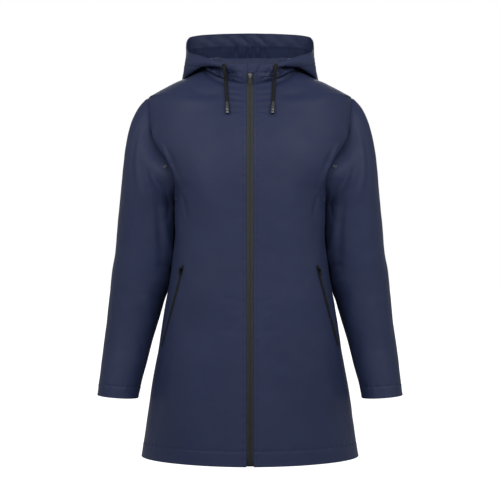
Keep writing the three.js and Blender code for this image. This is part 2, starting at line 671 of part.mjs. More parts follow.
// Box and pin at the foot of the front zip.
function zipBox() {
  const [foot, above] = openingLine();
  const slope = V(0, above.z - foot.z, foot.y - above.y).normalize();
  const y = foot.y + ((above.y - foot.y) * (ZIP_BOX.z - foot.z)) / (above.z - foot.z);
  const { wide, thick, tall } = ZIP_BOX;
  const shape = new THREE.BoxGeometry(wide, thick, tall).translate(0, thick / 2 + SEAM, 0);
  const point = V(0, y, ZIP_BOX.z).addScaledVector(slope, ZIP.backSet);
  return shape.applyMatrix4(seat(point, slope.clone().negate(), V(0, 0, 1)));
}

// Small flap over the top of the zip, with a slanting lower edge.
function zipGarage() {
  const columns = [
    { x: -4, foot: -19, head: 0.6 },
    { x: 3, foot: -18.4, head: 0.6 },
    { x: 9, foot: -16.5, head: 0.4 },
    { x: 14, foot: -12, head: 0.2 },
    { x: 17, foot: -7, head: 0 },
  ];
  const rows = [0, 0.5, 1];
  const face = HOOD[0].pouch[1] - 0.9 - GARAGE_THICK;
  const grid = rows.map((t) => columns.map(({ x, foot, head }) => V(x, face, foot + (head - foot) * t)));
  return wall(grid, { thick: GARAGE_THICK });
}

// ---- drawcords and eyelets --------------------------------------------------------------------------
// The cloth's face in front of the neck, at a distance x from the middle: hood above the
// neck seam, front below it.
function chestFace(x, z) {
  const seamZ = -NECK_DROP_FRONT * Math.sqrt(1 - (x / NECK_HALF) ** 2) ** 1.5;
  if (z < seamZ - 4) return onFront(x, z).p.y;
  const rise = tableCurve(
    [
      { z: seamZ - 4, y: onFront(x, seamZ - 4).p.y },
      { z: -14, y: -85.5 },
      { z: -5, y: -87.5 },
    ],
    "z",
    "y",
  );
  return rise(z);
}

const cordPoints = () => CORD_ROUTE.map(({ x, z, out }) => V(x, chestFace(x, z) - out, z));

function drawcord() {
  const path = new THREE.CatmullRomCurve3(cordPoints(), false, "centripetal");
  const section = new THREE.Shape();
  for (let i = 0; i < CORD.sides; i += 1) {
    const angle = (2 * Math.PI * i) / CORD.sides;
    const [x, y] = [CORD.radius * Math.cos(angle), CORD.radius * Math.sin(angle)];
    if (i === 0) section.moveTo(x, y);
    else section.lineTo(x, y);
  }
  return new THREE.ExtrudeGeometry(section, { extrudePath: path, steps: CORD.steps, bevelEnabled: false });
}

function cordEnd() {
  const points = cordPoints();
  const foot = points[points.length - 1];
  const way = foot.clone().sub(points[points.length - 2]).normalize();
  const { long, neck, barrel, bell } = CORD_END;
  const profile = [
    [0, 0], [neck, 0], [barrel, -2], [barrel, -0.62 * long], [bell, -0.7 * long], [bell, -0.94 * long],
    [bell - 1, -long], [0, -long],
  ].map(([r, y]) => new THREE.Vector2(r, y)).reverse();
  const turn = new THREE.Quaternion().setFromUnitVectors(V(0, -1, 0), way);
  return new THREE.LatheGeometry(profile, 16)
    .applyQuaternion(turn)
    .translate(...foot.addScaledVector(way, SEAM).toArray());
}

// A metal ring that lies on the cloth.
function eyelet({ outer, hole, thick }, point, out, sides = 20) {
  const edge = 0.3;
  const profile = [
    [hole, 0], [outer, 0], [outer, thick - edge], [outer - edge, thick],
    [hole + edge, thick], [hole, thick - edge], [hole, 0],
  ].map(([r, y]) => new THREE.Vector2(r, y));
  const turn = new THREE.Quaternion().setFromUnitVectors(V(0, 1, 0), out);
  return new THREE.LatheGeometry(profile, sides)
    .applyQuaternion(turn)
    .translate(...point.clone().addScaledVector(out, SEAM).toArray());
}

function cordEyelet() {
  const [{ x }, { z }] = [CORD_ROUTE[0], CORD_EYELET];
  return eyelet(CORD_EYELET, V(x, chestFace(x, z) - 1.3, z), V(0.2, -1, 0).normalize());
}

function bodyVent() {
  const { p, out } = onFront(BODY_VENT.x, BODY_VENT.z);
  return eyelet(VENT_EYELET, p, out, 14);
}

function sleeveVent() {
  const loop = armholeLoop();
  const { column, share, step } = SLEEVE_VENT;
  const at = (j, s) => sleevePoint(loop.points[j], loop.angles[j], s);
  const p = at(column, share);
  const along = at(column, share + step).sub(p);
  const across = at(column + 1, share).sub(at(column - 1, share));
  return eyelet(VENT_EYELET, p, across.cross(along).normalize(), 14);
}

// ---- the coat -----------------------------------------------------------------------------------------
const coat = new THREE.Group();

function add(name, geometry, color, roughness = 0.6, metalness = 0) {
  const plain = geometry.clone();
  const mesh = new THREE.Mesh(plain, new THREE.MeshStandardMaterial({ color, roughness, metalness }));
  mesh.name = name;
  coat.add(mesh);
}

function addPair(name, geometry, color, roughness, metalness) {
  const indexed = geometry.index ? geometry : mergeVertices(stripped(geometry), 1e-4);
  add(`${name}_left`, indexed, color, roughness, metalness);
  add(`${name}_right`, mirrorX(indexed), color, roughness, metalness);
}

function stripped(geometry) {
  const plain = new THREE.BufferGeometry();
  plain.setAttribute("position", geometry.getAttribute("position"));
  return plain;
}

addPair("front", frontPanel(), COLOURS.cloth);
add("back", backPanel(), COLOURS.cloth);
addPair("sleeve", sleevePanel(), COLOURS.cloth);
addPair("hood_side", hoodSide(), COLOURS.hoodCloth);
add("hood_middle", hoodMiddle(), COLOURS.hoodCloth);
add("zip_garage", zipGarage(), COLOURS.cloth);
addPair("zip_tape", zipTape(), COLOURS.tape, 0.8);
add("zip_slider", sliderShape().applyMatrix4(frontSliderSeat()), COLOURS.darkMetal, 0.35, 0.8);
add("zip_pull", pullShape().applyMatrix4(frontSliderSeat()), COLOURS.darkMetal, 0.35, 0.8);
add("zip_box", zipBox(), COLOURS.darkMetal, 0.35, 0.8);
addPair("pocket_zip", pocketZip(), COLOURS.tape, 0.8);
addPair("pocket_slider", sliderShape().applyMatrix4(pocketSliderSeat()), COLOURS.darkMetal, 0.35, 0.8);
addPair("pocket_pull", pullShape().applyMatrix4(pocketSliderSeat()), COLOURS.darkMetal, 0.35, 0.8);
addPair("drawcord", drawcord(), COLOURS.cord, 0.9);
addPair("cord_end", cordEnd(), COLOURS.cordEnd, 0.3);
addPair("cord_eyelet", cordEyelet(), COLOURS.eyelet, 0.3, 0.9);
addPair("vent_body", bodyVent(), COLOURS.eyelet, 0.3, 0.9);
addPair("vent_sleeve", sleeveVent(), COLOURS.eyelet, 0.3, 0.9);

export default coat;
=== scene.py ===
"""Looks of a hooded raincoat of coated cloth, filled out as worn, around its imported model."""

import bpy
import numpy as np
from mathutils import Matrix, Vector


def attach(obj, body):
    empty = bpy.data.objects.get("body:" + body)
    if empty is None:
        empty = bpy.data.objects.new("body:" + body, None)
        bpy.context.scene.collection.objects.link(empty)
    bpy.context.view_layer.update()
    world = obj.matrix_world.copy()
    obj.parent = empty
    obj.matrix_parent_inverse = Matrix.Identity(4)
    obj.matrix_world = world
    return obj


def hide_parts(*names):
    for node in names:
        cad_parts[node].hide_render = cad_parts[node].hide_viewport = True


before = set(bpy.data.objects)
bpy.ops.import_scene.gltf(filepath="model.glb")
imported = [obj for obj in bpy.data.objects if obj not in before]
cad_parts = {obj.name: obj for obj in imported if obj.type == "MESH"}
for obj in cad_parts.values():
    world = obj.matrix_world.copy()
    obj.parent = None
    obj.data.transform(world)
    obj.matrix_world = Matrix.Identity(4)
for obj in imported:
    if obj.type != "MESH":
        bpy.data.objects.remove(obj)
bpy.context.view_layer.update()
bpy.ops.object.select_all(action="DESELECT")


# ---- camera, backdrop and light --------------------------------------------------------------
# A level camera in front of the coat, halfway down it, in a white studio. The floor lies where
# the wearer's feet would be. Two soft panels light the front, and weaker ones the sides and back.
MM = 0.001
CAMERA_AWAY = 3.2
CAMERA_HIGH = -0.3892
LENS = 107.2
FLOOR_Z = -1.5
WHITE = (1.0, 1.0, 1.0, 1.0)

camera_data = bpy.data.cameras.new("camera")
camera_data.lens = LENS
camera = bpy.data.objects.new("camera", camera_data)
camera.location = (0.0, -CAMERA_AWAY, CAMERA_HIGH)
camera.rotation_euler = (np.pi / 2, 0.0, 0.0)
bpy.context.collection.objects.link(camera)
bpy.context.scene.camera = camera
bpy.context.scene.view_settings.view_transform = "Standard"


def soft_panel(name, place, target, size, watts):
    """A square studio light that faces a target."""
    light = bpy.data.lights.new(name, "AREA")
    light.size = size
    light.energy = watts
    panel = bpy.data.objects.new(name, light)
    panel.location = place
    away = np.array(place) - np.array(target)
    turn = np.arctan2(away[0], -away[1])
    panel.rotation_euler = (np.arccos(away[2] / np.linalg.norm(away)), 0.0, turn)
    bpy.context.collection.objects.link(panel)


for side, sign in (("left", 1), ("right", -1)):
    soft_panel(f"front_light_{side}", (sign * 1.2, -1.9, 0.9), (0.0, 0.0, -0.2), 1.2, 21.0)
    soft_panel(f"side_light_{side}", (sign * 2.3, -0.7, 0.5), (sign * 0.1, 0.0, -0.3), 1.4, 4.5)
soft_panel("low_fill", (0.0, -3.0, -0.1), (0.0, 0.0, 0.0), 1.0, 4.0)
soft_panel("back_light", (0.0, 2.6, 1.4), (0.0, 0.0, -0.3), 1.6, 18.0)

world = bpy.data.worlds.new("studio")
bpy.context.scene.world = world
world.use_nodes = True
room = world.node_tree
room_light = room.nodes["Background"]
room_light.inputs["Color"].default_value = WHITE
room_light.inputs["Strength"].default_value = 0.34
white_wall = room.nodes.new("ShaderNodeBackground")
white_wall.inputs["Color"].default_value = WHITE
seen = room.nodes.new("ShaderNodeLightPath")
either = room.nodes.new("ShaderNodeMixShader")
room.links.new(seen.outputs["Is Camera Ray"], either.inputs["Fac"])
room.links.new(room_light.outputs["Background"], either.inputs[1])
room.links.new(white_wall.outputs["Background"], either.inputs[2])
room.links.new(either.outputs["Shader"], room.nodes["World Output"].inputs["Surface"])

bpy.ops.mesh.primitive_plane_add(size=80.0, location=(0.0, 0.0, FLOOR_Z))
floor = bpy.context.object
floor.name = "floor"
paint = bpy.data.materials.new("floor_paint")
paint.use_nodes = True
paint_shader = paint.node_tree.nodes["Principled BSDF"]
paint_shader.inputs["Base Color"].default_value = (0.93, 0.93, 0.93, 1.0)
paint_shader.inputs["Roughness"].default_value = 0.9
paint_shader.inputs["Emission Color"].default_value = WHITE
paint_shader.inputs["Emission Strength"].default_value = 0.9
floor.data.materials.append(paint)
floor.visible_diffuse = False
floor.visible_glossy = False


# ---- drawcords -------------------------------------------------------------------------------
# The two free ends of the cord that draws the hood in: a round polyester braid that comes out
# through a metal eyelet on each side of the hood's front and ends in a turned metal cord end.
CORD_RADIUS = 3.2
CORD_SIDES = 20
CORD_STEPS = 14

# Route of the middle of the left cord in millimetres, from its eyelet to its cord end.
CORD_ROUTE = np.array([
    [54.0, -89.4, -4.2],
    [53.9, -92.8, -6.4],
    [53.6, -94.82, -11.0],
    [53.0, -93.58, -18.0],
    [52.2, -89.6, -26.0],
    [51.3, -85.36, -35.0],
    [50.4, -88.49, -44.0],
    [49.6, -93.24, -54.0],
    [48.8, -97.98, -64.0],
    [48.2, -102.77, -74.0],
    [47.8, -106.63, -82.0],
])


def new_material(name, base, rough, metal=0.0, specular=0.5):
    """A material with its shader, ready for the nodes that vary it."""
    material = bpy.data.materials.new(name)
    material.use_nodes = True
    shader = material.node_tree.nodes["Principled BSDF"]
    shader.inputs["Base Color"].default_value = (*base, 1.0)
    shader.inputs["Roughness"].default_value = rough
    shader.inputs["Metallic"].default_value = metal
    shader.inputs["Specular IOR Level"].default_value = specular
    return material, material.node_tree, shader


def grain(tree, scale, detail=2.0):
    """Height of an even noise on the piece's own place."""
    place = tree.nodes.new("ShaderNodeTexCoord")
    noise = tree.nodes.new("ShaderNodeTexNoise")
    noise.inputs["Scale"].default_value = scale
    noise.inputs["Detail"].default_value = detail
    tree.links.new(place.outputs["Object"], noise.inputs["Vector"])
    return noise.outputs["Fac"]


def drift(tree, shader, socket, low, high, scale):
    """Noise that moves a socket's value slowly between two values or colours."""
    ramp = tree.nodes.new("ShaderNodeValToRGB")
    ramp.color_ramp.elements[0].position = 0.3
    ramp.color_ramp.elements[1].position = 0.7
    if socket == "Roughness":
        low, high = (low,) * 3, (high,) * 3
    ramp.color_ramp.elements[0].color = (*low, 1.0)
    ramp.color_ramp.elements[1].color = (*high, 1.0)
    tree.links.new(grain(tree, scale, detail=3.0), ramp.inputs["Fac"])
    tree.links.new(ramp.outputs["Color"], shader.inputs[socket])


def bump(tree, shader, heights):
    """Bumps on the shader's normal, one after another: each a height and its depth in metres."""
    last = None
    for height, depth in heights:
        node = tree.nodes.new("ShaderNodeBump")
        node.inputs["Distance"].default_value = depth
        tree.links.new(height, node.inputs["Height"])
        if last is not None:
            tree.links.new(last, node.inputs["Normal"])
        last = node.outputs["Normal"]
    tree.links.new(last, shader.inputs["Normal"])


def painted_shade_by_height(tree, shader, height, low, high):
    """Painted shade: the colour follows a height, from a darker colour where it is low to a lighter one on
    top.
    """
    ramp = tree.nodes.new("ShaderNodeValToRGB")
    ramp.color_ramp.elements[0].color = (*low, 1.0)
    ramp.color_ramp.elements[1].color = (*high, 1.0)
    tree.links.new(height, ramp.inputs["Fac"])
    tree.links.new(ramp.outputs["Color"], shader.inputs["Base Color"])


def higher_of(tree, first, second):
    both = tree.nodes.new("ShaderNodeMath")
    both.operation = "MAXIMUM"
    tree.links.new(first, both.inputs[0])
    tree.links.new(second, both.inputs[1])
    return both.outputs["Value"]


def braid(tree, strands):
    """Height of a round braid, on a UV map that counts turns round the cord and along it."""
    nodes, links = tree.nodes, tree.links
    place = nodes.new("ShaderNodeTexCoord")
    crossing = []
    for slant in (1.0, -1.0):
        turn = nodes.new("ShaderNodeMapping")
        turn.inputs["Scale"].default_value = (1.0, slant, 1.0)
        links.new(place.outputs["UV"], turn.inputs["Vector"])
        wave = nodes.new("ShaderNodeTexWave")
        wave.bands_direction = "DIAGONAL"
        wave.inputs["Scale"].default_value = strands * 2 * np.pi / 10
        links.new(turn.outputs["Vector"], wave.inputs["Vector"])
        crossing.append(wave.outputs["Fac"])
    return higher_of(tree, *crossing)


# Length in metres of one band of a straight wave texture whose scale is 1.
BAND_LENGTH = 0.314


def bands(tree, direction, pitch, wobble=0.0):
    """Height of straight bands at that pitch in metres on the piece's own UV map."""
    place = tree.nodes.new("ShaderNodeTexCoord")
    wave = tree.nodes.new("ShaderNodeTexWave")
    wave.bands_direction = direction
    wave.inputs["Scale"].default_value = BAND_LENGTH / pitch
    wave.inputs["Distortion"].default_value = wobble
    tree.links.new(place.outputs["UV"], wave.inputs["Vector"])
    return wave.outputs["Fac"]


def metal(name, base, rough_low, rough_high):
    material, tree, shader = new_material(name, base, rough_high, metal=1.0)
    drift(tree, shader, "Base Color", [0.8 * c for c in base], base, 900.0)
    drift(tree, shader, "Roughness", rough_low, rough_high, 1500.0)
    bump(tree, shader, [(grain(tree, 4000.0), 0.00002)])
    return material


def spline(knots, steps):
    """Points on a smooth curve through each row of knots, so many to each span."""
    first = 2 * knots[:, :1] - knots[:, 1:2]
    last = 2 * knots[:, -1:] - knots[:, -2:-1]
    knots = np.concatenate([first, knots, last], axis=1)
    lengths = np.maximum(np.linalg.norm(np.diff(knots, axis=1), axis=2), 1e-4) ** 0.5
    points = []
    for span, count in enumerate(steps):
        p0, p1, p2, p3 = (knots[:, span + i] for i in range(4))
        d0, d1, d2 = (lengths[:, span + i, None] for i in range(3))
        t1 = ((p1 - p0) / d0 - (p2 - p0) / (d0 + d1) + (p2 - p1) / d1) * d1
        t2 = ((p2 - p1) / d1 - (p3 - p1) / (d1 + d2) + (p3 - p2) / d2) * d1
        for t in np.arange(count + (span == len(steps) - 1)) / count:
            points.append(
                p1 * (1 + 2 * t) * (1 - t) ** 2
                + t1 * t * (1 - t) ** 2
                + p2 * t * t * (3 - 2 * t)
                + t2 * t * t * (t - 1)
            )
    return np.stack(points, axis=1)


def grid_mesh(name, points, uv, material, ring=False, flip=False):
    """A mesh of a grid of points in millimetres with its UV map. A ring closes on itself."""
    rows, cols = points.shape[:2]
    number = np.arange(rows * cols).reshape(rows, cols)
    if ring:
        number = np.concatenate([number, number[:, :1]], axis=1)
    corners = [number[:-1, :-1], number[:-1, 1:], number[1:, 1:], number[1:, :-1]]
    uv_corners = [uv[:-1, :-1], uv[:-1, 1:], uv[1:, 1:], uv[1:, :-1]]
    if flip:
        corners.reverse()
        uv_corners.reverse()
    mesh = bpy.data.meshes.new(name)
    faces = np.stack(corners, axis=-1).reshape(-1, 4)
    mesh.from_pydata((points.reshape(-1, 3) * MM).tolist(), [], faces.tolist())
    layer = mesh.uv_layers.new(name="cloth")
    layer.data.foreach_set("uv", np.stack(uv_corners, axis=-2).reshape(-1))
    mesh.materials.append(material)
    piece = bpy.data.objects.new(name, mesh)
    bpy.context.collection.objects.link(piece)
    return piece


def edit(piece):
    """Opens a piece in edit mode with all of it selected."""
    bpy.ops.object.select_all(action="DESELECT")
    piece.select_set(True)
    bpy.context.view_layer.objects.active = piece
    bpy.ops.object.mode_set(mode="EDIT")
    bpy.ops.mesh.select_all(action="SELECT")


def close_edit(angle=40.0):
    """Leaves edit mode, and smooths the faces that meet at less than an angle in degrees."""
    bpy.ops.object.mode_set(mode="OBJECT")
    bpy.ops.object.shade_smooth_by_angle(angle=np.radians(angle))
    bpy.ops.object.select_all(action="DESELECT")


def apply_and_smooth(piece, modifier, angle):
    """Applies a modifier, and smooths the faces that meet at less than an angle in degrees."""
    bpy.context.view_layer.objects.active = piece
    bpy.ops.object.modifier_apply(modifier=modifier.name)
    piece.select_set(True)
    bpy.ops.object.shade_smooth_by_angle(angle=np.radians(angle))
    piece.select_set(False)


def seat(piece, body, slot, *nodes):
    """A finished piece rides on a body and stands for CAD nodes, which it hides; its slot is not used."""
    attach(piece, body)
    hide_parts(*nodes)


def tube(name, route, material):
    """A round tube along a route, closed at its ends, and the points of its middle line."""
    line = spline(route[None], [CORD_STEPS] * (len(route) - 1))[0]
    way = np.gradient(line, axis=0)
    way /= np.linalg.norm(way, axis=1, keepdims=True)
    side = np.cross(way, (1.0, 0.0, 0.0))
    side /= np.linalg.norm(side, axis=1, keepdims=True)
    up = np.cross(way, side)
    turns = np.arange(CORD_SIDES + 1) / CORD_SIDES
    angles = 2 * np.pi * turns[:-1, None]
    points = line[:, None] + CORD_RADIUS * (side[:, None] * np.cos(angles) + up[:, None] * np.sin(angles))
    run = np.r_[0, np.cumsum(np.linalg.norm(np.diff(line, axis=0), axis=1))]
    uv = np.stack(np.meshgrid(turns, run / (2 * np.pi * CORD_RADIUS)), axis=-1)
    piece = grid_mesh(name, points, uv, material, ring=True)
    edit(piece)
    bpy.ops.mesh.fill_holes(sides=0)
    bpy.ops.mesh.normals_make_consistent(inside=False)
    close_edit(60.0)
    return piece, line


def turned(name, material, rings, sides, hollow=False):
    """A piece turned about Z, from rings of radius and height. A hollow one closes on itself."""
    fill = "NOTHING" if hollow else "NGON"
    bpy.ops.mesh.primitive_circle_add(vertices=sides, radius=rings[0][0] * MM, fill_type=fill)
    piece = bpy.context.object
    piece.name = name
    piece.data.materials.append(material)
    edit(piece)
    bpy.ops.transform.translate(value=(0.0, 0.0, rings[0][1] * MM))
    for (last, low), (radius, height) in zip(rings, rings[1:]):
        bpy.ops.mesh.extrude_region_move(TRANSFORM_OT_translate={"value": (0.0, 0.0, (height - low) * MM)})
        share = radius / last
        bpy.ops.transform.resize(value=(share, share, 1.0), center_override=(0.0, 0.0, height * MM))
    if hollow:
        bpy.ops.mesh.select_non_manifold()
        bpy.ops.mesh.bridge_edge_loops()
    bpy.ops.mesh.select_all(action="SELECT")
    bpy.ops.mesh.normals_make_consistent(inside=False)
    close_edit()
    return piece


def place_at(piece, point, up):
    """Puts a turned piece's foot at a point in millimetres, with its Z axis along a direction."""
    turn = Vector((0.0, 0.0, 1.0)).rotation_difference(Vector(up))
    piece.data.transform(Matrix.Translation(Vector(point) * MM) @ turn.to_matrix().to_4x4())


def mirror_copy(piece, name):
    """The same piece for the right side, with a mesh of its own."""
    twin = bpy.data.objects.new(name, piece.data.copy())
    twin.data.transform(Matrix.Scale(-1.0, 4, (1.0, 0.0, 0.0)))
    twin.data.flip_normals()
    bpy.context.collection.objects.link(twin)
    return twin


cord_yarn, cord_tree, cord_shader = new_material("cord_yarn", (0.016, 0.017, 0.016), 0.85, specular=0.2)
# Painted shade: the braid's colour is darker in the gaps between its strands, where shade falls.
painted_shade_by_height(cord_tree, cord_shader, braid(cord_tree, 8), (0.005, 0.0055, 0.006), (0.020, 0.021, 0.0185))
bump(cord_tree, cord_shader, [(braid(cord_tree, 8), 0.0004), (grain(cord_tree, 5000.0), 0.00006)])
dark_metal = metal("dark_metal", (0.05, 0.052, 0.056), 0.3, 0.42)
polished_metal = metal("polished_metal", (0.17, 0.168, 0.178), 0.2, 0.3)

CORD_END_RINGS = [
    (3.2, 0.0), (3.7, 0.3), (4.0, 1.2), (4.15, 2.6), (4.15, 14.0), (4.05, 18.0), (3.8, 21.0), (3.6, 22.2),
    (3.9, 23.0), (3.9, 25.4), (3.5, 26.6), (2.6, 27.0),
]
EYELET_RINGS = [
    (4.3, 0.2), (4.6, 0.0), (5.9, 0.0), (6.2, 0.3), (6.1, 0.8), (5.7, 1.2), (5.2, 1.35), (4.7, 1.2),
    (4.35, 0.8),
]
EYELET_PLACE = (54.0, -89.1, -4.8)
EYELET_OUT = (0.196, -0.981, 0.0)

cord_left, cord_line = tube("drawcord_left_braid", CORD_ROUTE, cord_yarn)
cord_right, mirrored_line = tube("drawcord_right_braid", CORD_ROUTE * (-1, 1, 1), cord_yarn)
cord_way = CORD_ROUTE[-1] - CORD_ROUTE[-2]
cord_way /= np.linalg.norm(cord_way)
cord_end = turned("cord_end_left_metal", polished_metal, CORD_END_RINGS, 28)
place_at(cord_end, CORD_ROUTE[-1] + 0.1 * cord_way, cord_way)
eyelet = turned("cord_eyelet_left_ring", dark_metal, EYELET_RINGS, 36, hollow=True)
place_at(eyelet, EYELET_PLACE, EYELET_OUT)
cord_ends = {"left": cord_end, "right": mirror_copy(cord_end, "cord_end_right_metal")}
eyelets = {"left": eyelet, "right": mirror_copy(eyelet, "cord_eyelet_right_ring")}
for side, cord, line in (("left", cord_left, cord_line), ("right", cord_right, mirrored_line)):
    seat(cord_ends[side], "coat", "cord_end", f"cord_end_{side}")
    seat(eyelets[side], "coat", "dark_metal", f"cord_eyelet_{side}")
    seat(cord, "coat", "cord", f"drawcord_{side}")


# ---- coated cloth ----------------------------------------------------------------------------
# Thin polyester with a matt rubbery coating on its face. The threads of the plain weave just
# print through the coating, and the colour and the sheen drift a little over each panel.
NAVY_DEEP = (0.0198, 0.0275, 0.070)
NAVY_LIGHT = (0.0230, 0.0318, 0.079)
THREAD_PITCH = 0.0007


def coated_cloth(name, deep, light, rough_low, rough_high):
    material, tree, shader = new_material(name, light, rough_high, specular=0.2)
    shader.inputs["Sheen Weight"].default_value = 0.03
    shader.inputs["Sheen Roughness"].default_value = 0.45
    shader.inputs["Sheen Tint"].default_value = (0.55, 0.62, 0.85, 1.0)
    drift(tree, shader, "Base Color", deep, light, 9.0)
    drift(tree, shader, "Roughness", rough_low, rough_high, 14.0)
    weave = higher_of(tree, *(bands(tree, way, THREAD_PITCH, wobble=0.4) for way in ("X", "Y")))
    fine = [(grain(tree, 1400.0), 0.00003), (weave, 0.00003)]
    bump(tree, shader, [(grain(tree, 26.0), 0.0011), *fine])
    return material


body_cloth = coated_cloth("body_cloth", NAVY_DEEP, NAVY_LIGHT, 0.47, 0.56)


# The panels are grids of points in millimetres. A panel keeps its points, the way out of the
# cloth at each, and the distances across and along it, and gets its thickness at the end.
def through(rows, column):
    """A smooth curve through a column of a table, against its first, that never overshoots."""
    rows = rows[np.argsort(rows[:, 0])]
    places, values = rows[:, 0], rows[:, column]
    rise = np.diff(values) / np.diff(places)
    before, after = np.r_[rise[0], rise], np.r_[rise, rise[-1]]
    same_way = before * after > 0
    slope = np.zeros(len(values))
    slope[same_way] = 2 * (before * after)[same_way] / (before + after)[same_way]

    def curve(place):
        i = np.clip(np.searchsorted(places, place, side="right") - 1, 0, len(places) - 2)
        step = places[i + 1] - places[i]
        t = np.clip((place - places[i]) / step, 0, 1)
        bends = slope[i] * step * t * (1 - t) ** 2 + slope[i + 1] * step * t * t * (t - 1)
        return values[i] * (1 + 2 * t) * (1 - t) ** 2 + values[i + 1] * t * t * (3 - 2 * t) + bends

    return curve


def ease(t):
    t = np.clip(t, 0, 1)
    return t * t * (3 - 2 * t)


def bell(distance, width):
    """1 in the middle, falling softly to nothing at about twice the width."""
    return np.exp(-((distance / width) ** 2))


def run_of(points, axis):
    """Distance run along a grid from its first row or column."""
    steps = np.linalg.norm(np.diff(points, axis=axis), axis=2)
    start = np.zeros_like(np.take(steps, [0], axis=axis))
    return np.concatenate([start, np.cumsum(steps, axis=axis)], axis=axis)


class Panel:
    """A grid of points with the way out of the cloth and the distances across and along it."""

    def __init__(self, points, ring=False, flip=False):
        self.ring = ring
        self.flip = flip
        self.plain = points
        closed = np.concatenate([points, points[:, :1]], axis=1) if ring else points
        self.across = run_of(closed, 1)
        self.along = run_of(closed, 0)
        self.shape(points)

    def shape(self, points):
        self.points = points
        if self.ring:
            across = np.roll(points, -1, axis=1) - np.roll(points, 1, axis=1)
        else:
            across = np.gradient(points, axis=1)
        out = np.cross(across, np.gradient(points, axis=0))
        out /= np.maximum(np.linalg.norm(out, axis=2, keepdims=True), 1e-9)
        self.out = -out if self.flip else out

    def raise_by(self, height):
        self.shape(self.points + self.out * height[..., None])

    def span(self):
        """Distances across and along the cloth at each point, and its whole width and length."""
        cols = self.points.shape[1]
        return self.across[:, :cols], self.along[:, :cols], self.across[:, -1:], self.along[-1:, :cols]

    def mirrored(self):
        twin = Panel(self.plain * (-1, 1, 1), self.ring, not self.flip)
        twin.shape(self.points * (-1, 1, 1))
        return twin


def crease(u, v, start, end, width, depth, bow=0.0):
    """A soft ridge from start to end, or a trough where depth is below 0, with tapered ends."""
    way = np.subtract(end, start)
    length = np.hypot(*way)
    way = way / length
    t = ((u - start[0]) * way[0] + (v - start[1]) * way[1]) / length
    side = (v - start[1]) * way[0] - (u - start[0]) * way[1] - bow * 4 * t * (1 - t)
    taper = np.sin(np.pi * np.clip(t, 0, 1)) ** 0.8
    return depth * taper * bell(side, width)


def waver(u, v, seed, length, height):
    """Gentle unevenness of about that length, the same each time for a seed."""
    rng = np.random.default_rng(seed)
    total = np.zeros_like(u)
    for _ in range(5):
        turn = rng.uniform(0, 2 * np.pi)
        wave = length * rng.uniform(0.7, 1.6)
        phase = rng.uniform(0, 2 * np.pi)
        total += np.sin(2 * np.pi * (u * np.cos(turn) + v * np.sin(turn)) / wave + phase)
    return height * total / 5


def ripples(rng, runs, lengths):
    """Waves of those lengths along each run, added up, each from a start drawn by chance."""
    full_turn = 6.28
    total = 0.0
    for run, length in zip(runs, lengths):
        total = total + np.sin(2 * np.pi * run / length + rng.uniform(0, full_turn))
    return total


def pucker(distance, run, at, seed, height, reach=6.0):
    """A row of stitches pulls the cloth in along a line and ripples it on both sides."""
    ripple = ripples(np.random.default_rng(seed), [run] * 4, (7.5, 11.0, 17.0, 29.0))
    return -height * bell(distance - at, 1.7) + 0.3 * height * ripple * bell(distance - at, reach)


def turned_hem(from_edge, run, deep, seed, pull):
    """A hem is thicker than the cloth up to its stitches, and its folded edge is round."""
    row = pucker(from_edge, run, deep, seed, pull)
    return row + HEM_PROUD * ease((deep - from_edge) / 2) + HEM_PROUD * bell(from_edge - 1.2, 1.6)


CLOTH_THICK = 1.1
TAPE_THICK = 0.8
HEM_PROUD = 0.4


def make_shell(name, panel, material, slot, *nodes, thick=CLOTH_THICK):
    """The panel as a thin shell that stands for CAD nodes and rides on the coat."""
    uv = np.stack([panel.across, panel.along], axis=-1) * MM
    piece = grid_mesh(name, panel.points, uv, material, ring=panel.ring, flip=panel.flip)
    wall = piece.modifiers.new("wall", "SOLIDIFY")
    wall.thickness = thick * MM
    wall.offset = -1.0
    apply_and_smooth(piece, wall, 50.0)
    seat(piece, "coat", slot, *nodes)
    return piece


def make_cloth(name, panel, node, flat, area, rests_on):
    """A panel of coated cloth; the size that it was cut to, flat and area, is not used."""
    piece = make_shell(name, panel, body_cloth, "coated_cloth", node)


# ---- stitching -------------------------------------------------------------------------------
# One lockstitch of thick thread, copied along each seam line. Its thread is a shade off the
# cloth's colour, as the thread takes the light more than the coating does.
THREAD_RADIUS = 0.3
THREAD_PROUD = 0.12
STITCH_LONG = 2.5
STITCH_STEP = 3.3

thread, thread_tree, thread_shader = new_material("sewing_thread", (0.022, 0.027, 0.058), 0.7, specular=0.3)
drift(thread_tree, thread_shader, "Base Color", (0.018, 0.023, 0.05), (0.027, 0.033, 0.068), 600.0)
bump(thread_tree, thread_shader, [(grain(thread_tree, 5000.0), 0.00005)])

bpy.ops.mesh.primitive_ico_sphere_add(subdivisions=1, radius=1.0)
bpy.ops.object.mode_set(mode="EDIT")
bpy.ops.transform.resize(value=(STITCH_LONG / 2, THREAD_RADIUS * 1.3, THREAD_RADIUS))
bpy.ops.object.mode_set(mode="OBJECT")
pattern = bpy.context.object
stitch_points = np.array([v.co[:] for v in pattern.data.vertices])
stitch_faces = np.array([f.vertices[:] for f in pattern.data.polygons])
bpy.data.objects.remove(pattern)


def at_places(places, run, values):
    """Rows of values at places between the runs that the rows are given for."""
    return np.stack([np.interp(places, run, column) for column in values.T], axis=1)


